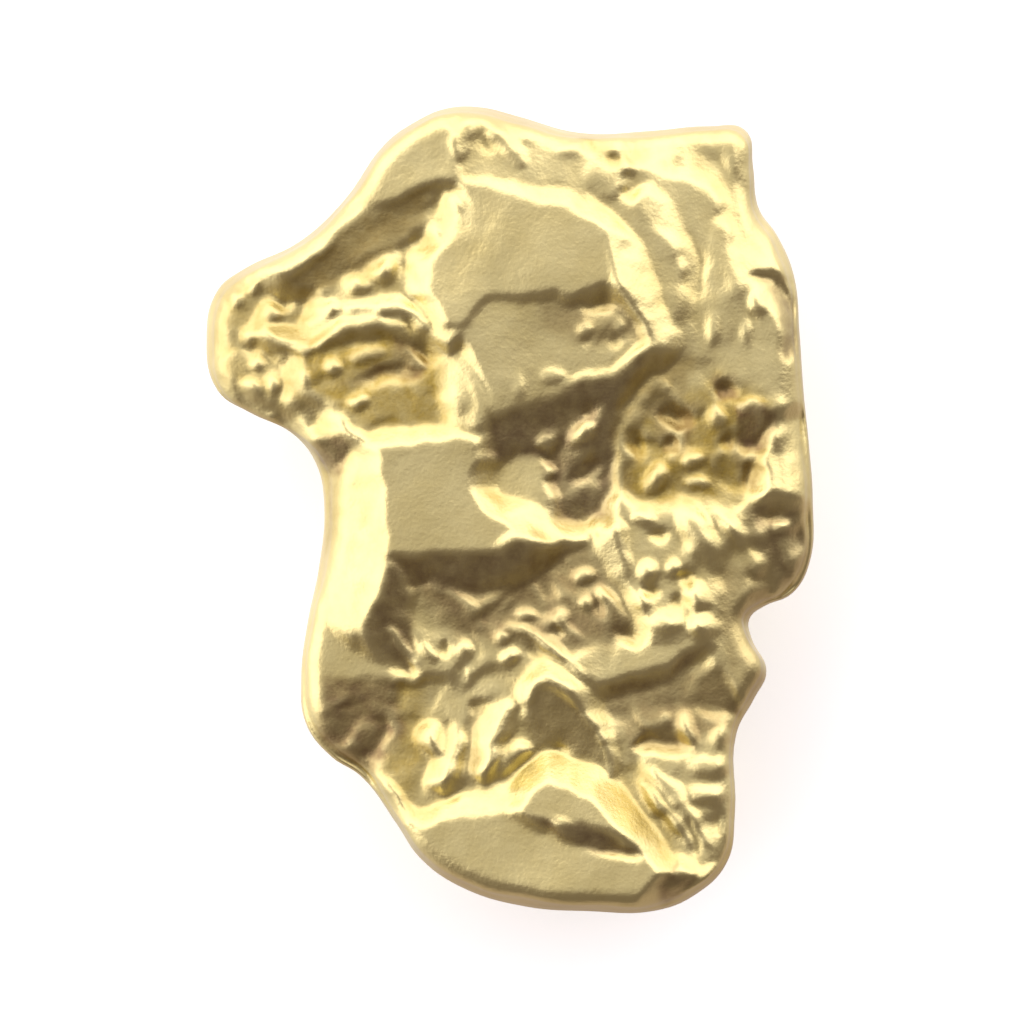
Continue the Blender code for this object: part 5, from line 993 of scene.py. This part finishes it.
def mark_hollows(lump):
    """Mark the points that lie in hollows or on edges, by comparing them with the rest."""
    mesh = lump.data
    count = len(mesh.vertices)
    places = point_values(mesh, "co") / MM
    normals = point_values(mesh, "normal")
    ends = np.empty(len(mesh.edges) * 2, dtype=np.int32)
    mesh.edges.foreach_get("vertices", ends)
    first, second = ends[0::2], ends[1::2]
    neighbours = np.bincount(ends, minlength=count)[:, None]
    for name, rounds, full in MARKS:
        smooth = places.copy()
        for _ in range(rounds):
            total = np.empty_like(smooth)
            for axis in range(3):
                total[:, axis] = (np.bincount(first, smooth[second, axis], count)
                                  + np.bincount(second, smooth[first, axis], count))
            smooth = 0.5 * smooth + 0.5 * total / neighbours
        depth = ((smooth - places) * normals).sum(axis=1)
        mark(lump, name, np.clip(depth / full, 0.0, 1.0))


def add_node(tree, kind, settings=None, inputs=None):
    """Add a node, set its options, and fill or link its inputs."""
    node = tree.nodes.new(kind)
    for name, value in (settings or {}).items():
        setattr(node, name, value)
    for name, value in (inputs or {}).items():
        if isinstance(value, bpy.types.NodeSocket):
            tree.links.new(value, node.inputs[name])
        else:
            node.inputs[name].default_value = value
    return node


def native_gold(finish):
    """Native gold, about nine parts gold and one silver, rubbed by gravel in a river.

    The eye sees pale yellow metal with a soft sheen on the rubbed flats and edges, deeper
    and duller yellow in the pits from painted shade and painted gold-on-gold reflection, and
    brown painted shade under the ledges, partly a film of iron oxide.
    """
    material = bpy.data.materials.new("native_gold_river_worn")
    material.use_nodes = True
    tree = material.node_tree
    shader = tree.nodes["Principled BSDF"]
    place = add_node(tree, "ShaderNodeTexCoord").outputs["Object"]
    hollow, edge, brown_shade_mark, painted_shade = (
        add_node(tree, "ShaderNodeAttribute", {"attribute_name": name}).outputs["Fac"]
        for name in ("hollow", "edge", "brown", "olive"))

    # cloudy patches, in which the painted shade, partly iron stain, comes and goes
    clouds = add_node(tree, "ShaderNodeTexNoise", None,
                      {"Vector": place, "Scale": 1 / (CLOUD * MM), "Detail": 3.0,
                       "Roughness": 0.6}).outputs["Fac"]
    patchy = add_node(tree, "ShaderNodeMapRange", None,
                      {"Value": clouds, "From Min": 0.35, "From Max": 0.65,
                       "To Min": 0.5, "To Max": 1.0}).outputs["Result"]
    # painted shade and painted gold-on-gold reflection: the olive patches, or failing that the
    # hollows themselves, deepen the gold
    hollow_shade = add_node(tree, "ShaderNodeMath", MULTIPLY,
                         {0: hollow, 1: HOLLOW_SHADE_SHARE}).outputs[0]
    either = add_node(tree, "ShaderNodeMath", {"operation": "MAXIMUM"},
                      {0: painted_shade, 1: hollow_shade}).outputs[0]
    deep_shade = add_node(tree, "ShaderNodeMath", MULTIPLY, {0: either, 1: patchy}).outputs[0]
    # wider clouds of slightly deeper gold on the flats
    wide = add_node(tree, "ShaderNodeTexNoise", None,
                    {"Vector": place, "Scale": 1 / (WIDE_CLOUD * MM), "Detail": 4.0,
                     "Roughness": 0.65}).outputs["Fac"]
    tone = add_node(tree, "ShaderNodeMapRange", None,
                    {"Value": wide, "From Min": 0.35, "From Max": 0.7,
                     "To Min": 0.0, "To Max": 0.3}).outputs["Result"]
    base = add_node(tree, "ShaderNodeMix", COLOURS,
                    {"Factor": tone, FIRST: (*finish.polished, 1.0),
                     SECOND: (*finish.deep_gold_and_shade, 1.0)}).outputs[2]
    # painted shade: hollows and olive patches pull the gold towards the deeper colour
    yellow = add_node(tree, "ShaderNodeMix", COLOURS,
                      {"Factor": deep_shade, FIRST: base,
                       SECOND: (*finish.deep_gold_and_shade, 1.0)}).outputs[2]
    # painted shade: the brown patches, partly iron stain, darken the gold
    brown_shade_laid = add_node(tree, "ShaderNodeMath", MULTIPLY,
                      {0: brown_shade_mark, 1: patchy}).outputs[0]
    brown = add_node(tree, "ShaderNodeMix", COLOURS,
                     {"Factor": brown_shade_laid, FIRST: yellow,
                      SECOND: (*finish.brown_shade_and_stain, 1.0)}).outputs[2]
    bare = add_node(tree, "ShaderNodeMath", MULTIPLY, {0: edge, 1: patchy}).outputs[0]
    rubbed = add_node(tree, "ShaderNodeMix", COLOURS,
                      {"Factor": bare, FIRST: brown,
                       SECOND: (*finish.polished, 1.0)}).outputs[2]
    tree.links.new(rubbed, shader.inputs["Base Color"])
    shader.inputs["Metallic"].default_value = 1.0

    sheen = add_node(tree, "ShaderNodeMapRange", None,
                     {"Value": deep_shade, "To Min": finish.roughness,
                      "To Max": finish.pit_roughness}).outputs["Result"]
    tree.links.new(sheen, shader.inputs["Roughness"])

    # dints of gravel, and the grain of finer grit
    dints = add_node(tree, "ShaderNodeTexNoise", None,
                     {"Vector": place, "Scale": 1 / (DINT * MM), "Detail": 2.0}).outputs["Fac"]
    grain = add_node(tree, "ShaderNodeTexNoise", None,
                     {"Vector": place, "Scale": 1 / (GRAIN * MM), "Detail": 2.0}).outputs["Fac"]
    coarse = add_node(tree, "ShaderNodeBump", None,
                      {"Height": dints, "Strength": 0.3, "Distance": DINT_DEPTH * MM})
    fine = add_node(tree, "ShaderNodeBump", None,
                    {"Height": grain, "Strength": 0.5, "Distance": GRAIN_DEPTH * MM,
                     "Normal": coarse.outputs["Normal"]})
    tree.links.new(fine.outputs["Normal"], shader.inputs["Normal"])
    return material


class NUGGET_OT_add_lump(bpy.types.Operator):
    """Build the nugget and lay it over its CAD solid"""

    bl_idname = "nugget.add_lump"
    bl_label = "Add Nugget"

    def execute(self, context):
        shape = context.scene.nugget_shape
        lump = plain_lump(shape)
        shape_lump(lump, shape)
        thin_underside(lump, shape)
        mark_hollows(lump)
        lump.data.shade_smooth()
        lump.data.materials.append(native_gold(context.scene.gold_finish))
        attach(lump, "root")
        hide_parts("nugget")
        return {"FINISHED"}


def studio_sky(world):
    """Soft light from all round, dimmer overhead and dark low in the south."""
    world.use_nodes = True
    tree = world.node_tree
    tree.nodes.clear()
    way = add_node(tree, "ShaderNodeTexCoord").outputs["Generated"]
    axes = add_node(tree, "ShaderNodeSeparateXYZ", None, {0: way}).outputs

    # how far a direction leans towards the dark card, whatever its height
    toward_card = add_node(tree, "ShaderNodeVectorMath", {"operation": "DOT_PRODUCT"},
                           {0: way, 1: CARD_DIRECTION}).outputs["Value"]
    height_squared = add_node(tree, "ShaderNodeMath", MULTIPLY,
                              {0: axes["Z"], 1: axes["Z"]}).outputs[0]
    level_squared = add_node(tree, "ShaderNodeMath", {"operation": "SUBTRACT"},
                             {0: OVER_ONE, 1: height_squared}).outputs[0]
    level = add_node(tree, "ShaderNodeMath", {"operation": "SQRT"},
                     {0: level_squared}).outputs[0]
    toward = add_node(tree, "ShaderNodeMath", {"operation": "DIVIDE"},
                      {0: toward_card, 1: level}).outputs[0]

    # the card stands south-south-east, from a little off the zenith down to the table
    card_width = add_node(tree, "ShaderNodeMapRange", SMOOTH,
                          {"Value": toward, "From Min": CARD_SIDES[0],
                           "From Max": CARD_SIDES[1]}).outputs[0]
    card_height = add_node(tree, "ShaderNodeMapRange", SMOOTH,
                           {"Value": axes["Z"], "From Min": CARD_TOP[0],
                            "From Max": CARD_TOP[1], "To Min": 1.0, "To Max": 0.0}).outputs[0]
    card = add_node(tree, "ShaderNodeMath", MULTIPLY,
                    {0: card_width, 1: card_height}).outputs[0]

    # bright panels all round, apart from the side of the card
    panel_height = add_node(tree, "ShaderNodeMapRange", SMOOTH,
                            {"Value": axes["Z"], "From Min": PANEL_TOP[0],
                             "From Max": PANEL_TOP[1], "To Min": 1.0,
                             "To Max": 0.0}).outputs[0]
    panel_width = add_node(tree, "ShaderNodeMapRange", SMOOTH,
                           {"Value": toward, "From Min": PANEL_SIDES[0],
                            "From Max": PANEL_SIDES[1], "To Min": 1.0,
                            "To Max": 0.0}).outputs[0]
    panels = add_node(tree, "ShaderNodeMath", MULTIPLY,
                      {0: panel_height, 1: panel_width}).outputs[0]
    light = add_node(tree, "ShaderNodeMapRange", None,
                     {"Value": panels, "To Min": OVERHEAD_LIGHT,
                      "To Max": PANEL_LIGHT}).outputs[0]
    above = add_node(tree, "ShaderNodeMix", FLOATS,
                     {"Factor": card, 2: light, 3: CARD_LIGHT}).outputs[0]

    # below the horizon the light fades into the pale table, darker on the side of the card
    table = add_node(tree, "ShaderNodeMapRange", SMOOTH,
                     {"Value": toward, "From Min": TABLE_SIDES[0],
                      "From Max": TABLE_SIDES[1], "To Min": TABLE_LIGHT[0],
                      "To Max": TABLE_LIGHT[1]}).outputs[0]
    below = add_node(tree, "ShaderNodeMapRange", SMOOTH,
                     {"Value": axes["Z"], "From Min": HORIZON[0], "From Max": HORIZON[1],
                      "To Min": 1.0, "To Max": 0.0}).outputs[0]
    reflected = add_node(tree, "ShaderNodeMix", FLOATS,
                         {"Factor": below, 2: above, 3: table}).outputs[0]
    seen = add_node(tree, "ShaderNodeLightPath").outputs["Is Camera Ray"]
    strength = add_node(tree, "ShaderNodeMix", FLOATS,
                        {"Factor": seen, 2: reflected, 3: BACKDROP_LIGHT}).outputs[0]
    tint = add_node(tree, "ShaderNodeMix", COLOURS,
                    {"Factor": card, FIRST: PANEL_TINT, SECOND: CARD_TINT}).outputs[2]
    glow = add_node(tree, "ShaderNodeBackground", None, {"Color": tint, "Strength": strength})
    add_node(tree, "ShaderNodeOutputWorld", None, {"Surface": glow.outputs[0]})


def matt_white_card(studio):
    """Matt white card, lit a little from below as a light table is."""
    material = bpy.data.materials.new("matt_white_card")
    material.use_nodes = True
    shader = material.node_tree.nodes["Principled BSDF"]
    shader.inputs["Base Color"].default_value = (*studio.floor_colour, 1.0)
    shader.inputs["Roughness"].default_value = 0.9
    shader.inputs["Specular IOR Level"].default_value = 0.0
    shader.inputs["Emission Color"].default_value = FLOOR_GLOW_TINT
    shader.inputs["Emission Strength"].default_value = FLOOR_GLOW
    return material


def plain_floor(studio):
    """A square sheet of the card, which the gold doesn't mirror."""
    sheet = bmesh.new()
    bmesh.ops.create_grid(sheet, x_segments=1, y_segments=1, size=studio.floor_size / 2)
    mesh = bpy.data.meshes.new("floor")
    sheet.to_mesh(mesh)
    sheet.free()
    mesh.materials.append(matt_white_card(studio))
    floor = bpy.data.objects.new("floor", mesh)
    floor.visible_glossy = False
    return floor


def overhead_camera(studio):
    """A long lens straight above the nugget."""
    camera = bpy.data.cameras.new("camera")
    camera.lens = studio.lens
    camera.clip_start = 0.001
    eye = bpy.data.objects.new("camera", camera)
    distance = studio.field / camera.sensor_width * studio.lens
    x, y, z = VIEW_POINT
    eye.location = (x * MM, y * MM, distance + z * MM)
    return eye


class NUGGET_OT_add_studio(bpy.types.Operator):
    """Lay the pale floor, light it softly and set the camera straight above"""

    bl_idname = "nugget.add_studio"
    bl_label = "Add Studio"

    def execute(self, context):
        scene = context.scene
        floor = plain_floor(scene.nugget_studio)
        scene.collection.objects.link(floor)

        scene.world = bpy.data.worlds.new("soft studio")
        studio_sky(scene.world)

        camera = overhead_camera(scene.nugget_studio)
        scene.collection.objects.link(camera)
        scene.camera = camera
        scene.view_settings.view_transform = "Standard"
        return {"FINISHED"}


class NUGGET_PT_sidebar(bpy.types.Panel):
    """Sizes, colours and pieces of the nugget"""

    bl_label = "Gold Nugget"
    bl_idname = "NUGGET_PT_sidebar"
    bl_space_type = "VIEW_3D"
    bl_region_type = "UI"
    bl_category = "Nugget"

    def draw(self, context):
        for group in ("nugget_shape", "gold_finish", "nugget_studio"):
            settings = getattr(context.scene, group)
            box = self.layout.box()
            for name in settings.__annotations__:
                box.prop(settings, name)
        self.layout.operator(NUGGET_OT_add_lump.bl_idname)
        self.layout.operator(NUGGET_OT_add_studio.bl_idname)


CLASSES = (NuggetShape, GoldFinish, StudioSettings, NUGGET_OT_add_lump,
           NUGGET_OT_add_studio, NUGGET_PT_sidebar)


def register():
    for each in CLASSES:
        bpy.utils.register_class(each)
    bpy.types.Scene.nugget_shape = PointerProperty(type=NuggetShape)
    bpy.types.Scene.gold_finish = PointerProperty(type=GoldFinish)
    bpy.types.Scene.nugget_studio = PointerProperty(type=StudioSettings)


def unregister():
    del bpy.types.Scene.nugget_studio
    del bpy.types.Scene.gold_finish
    del bpy.types.Scene.nugget_shape
    for each in reversed(CLASSES):
        bpy.utils.unregister_class(each)


def main():
    register()
    bpy.ops.nugget.add_lump()
    bpy.ops.nugget.add_studio()


if __name__ == "__main__":
    main()
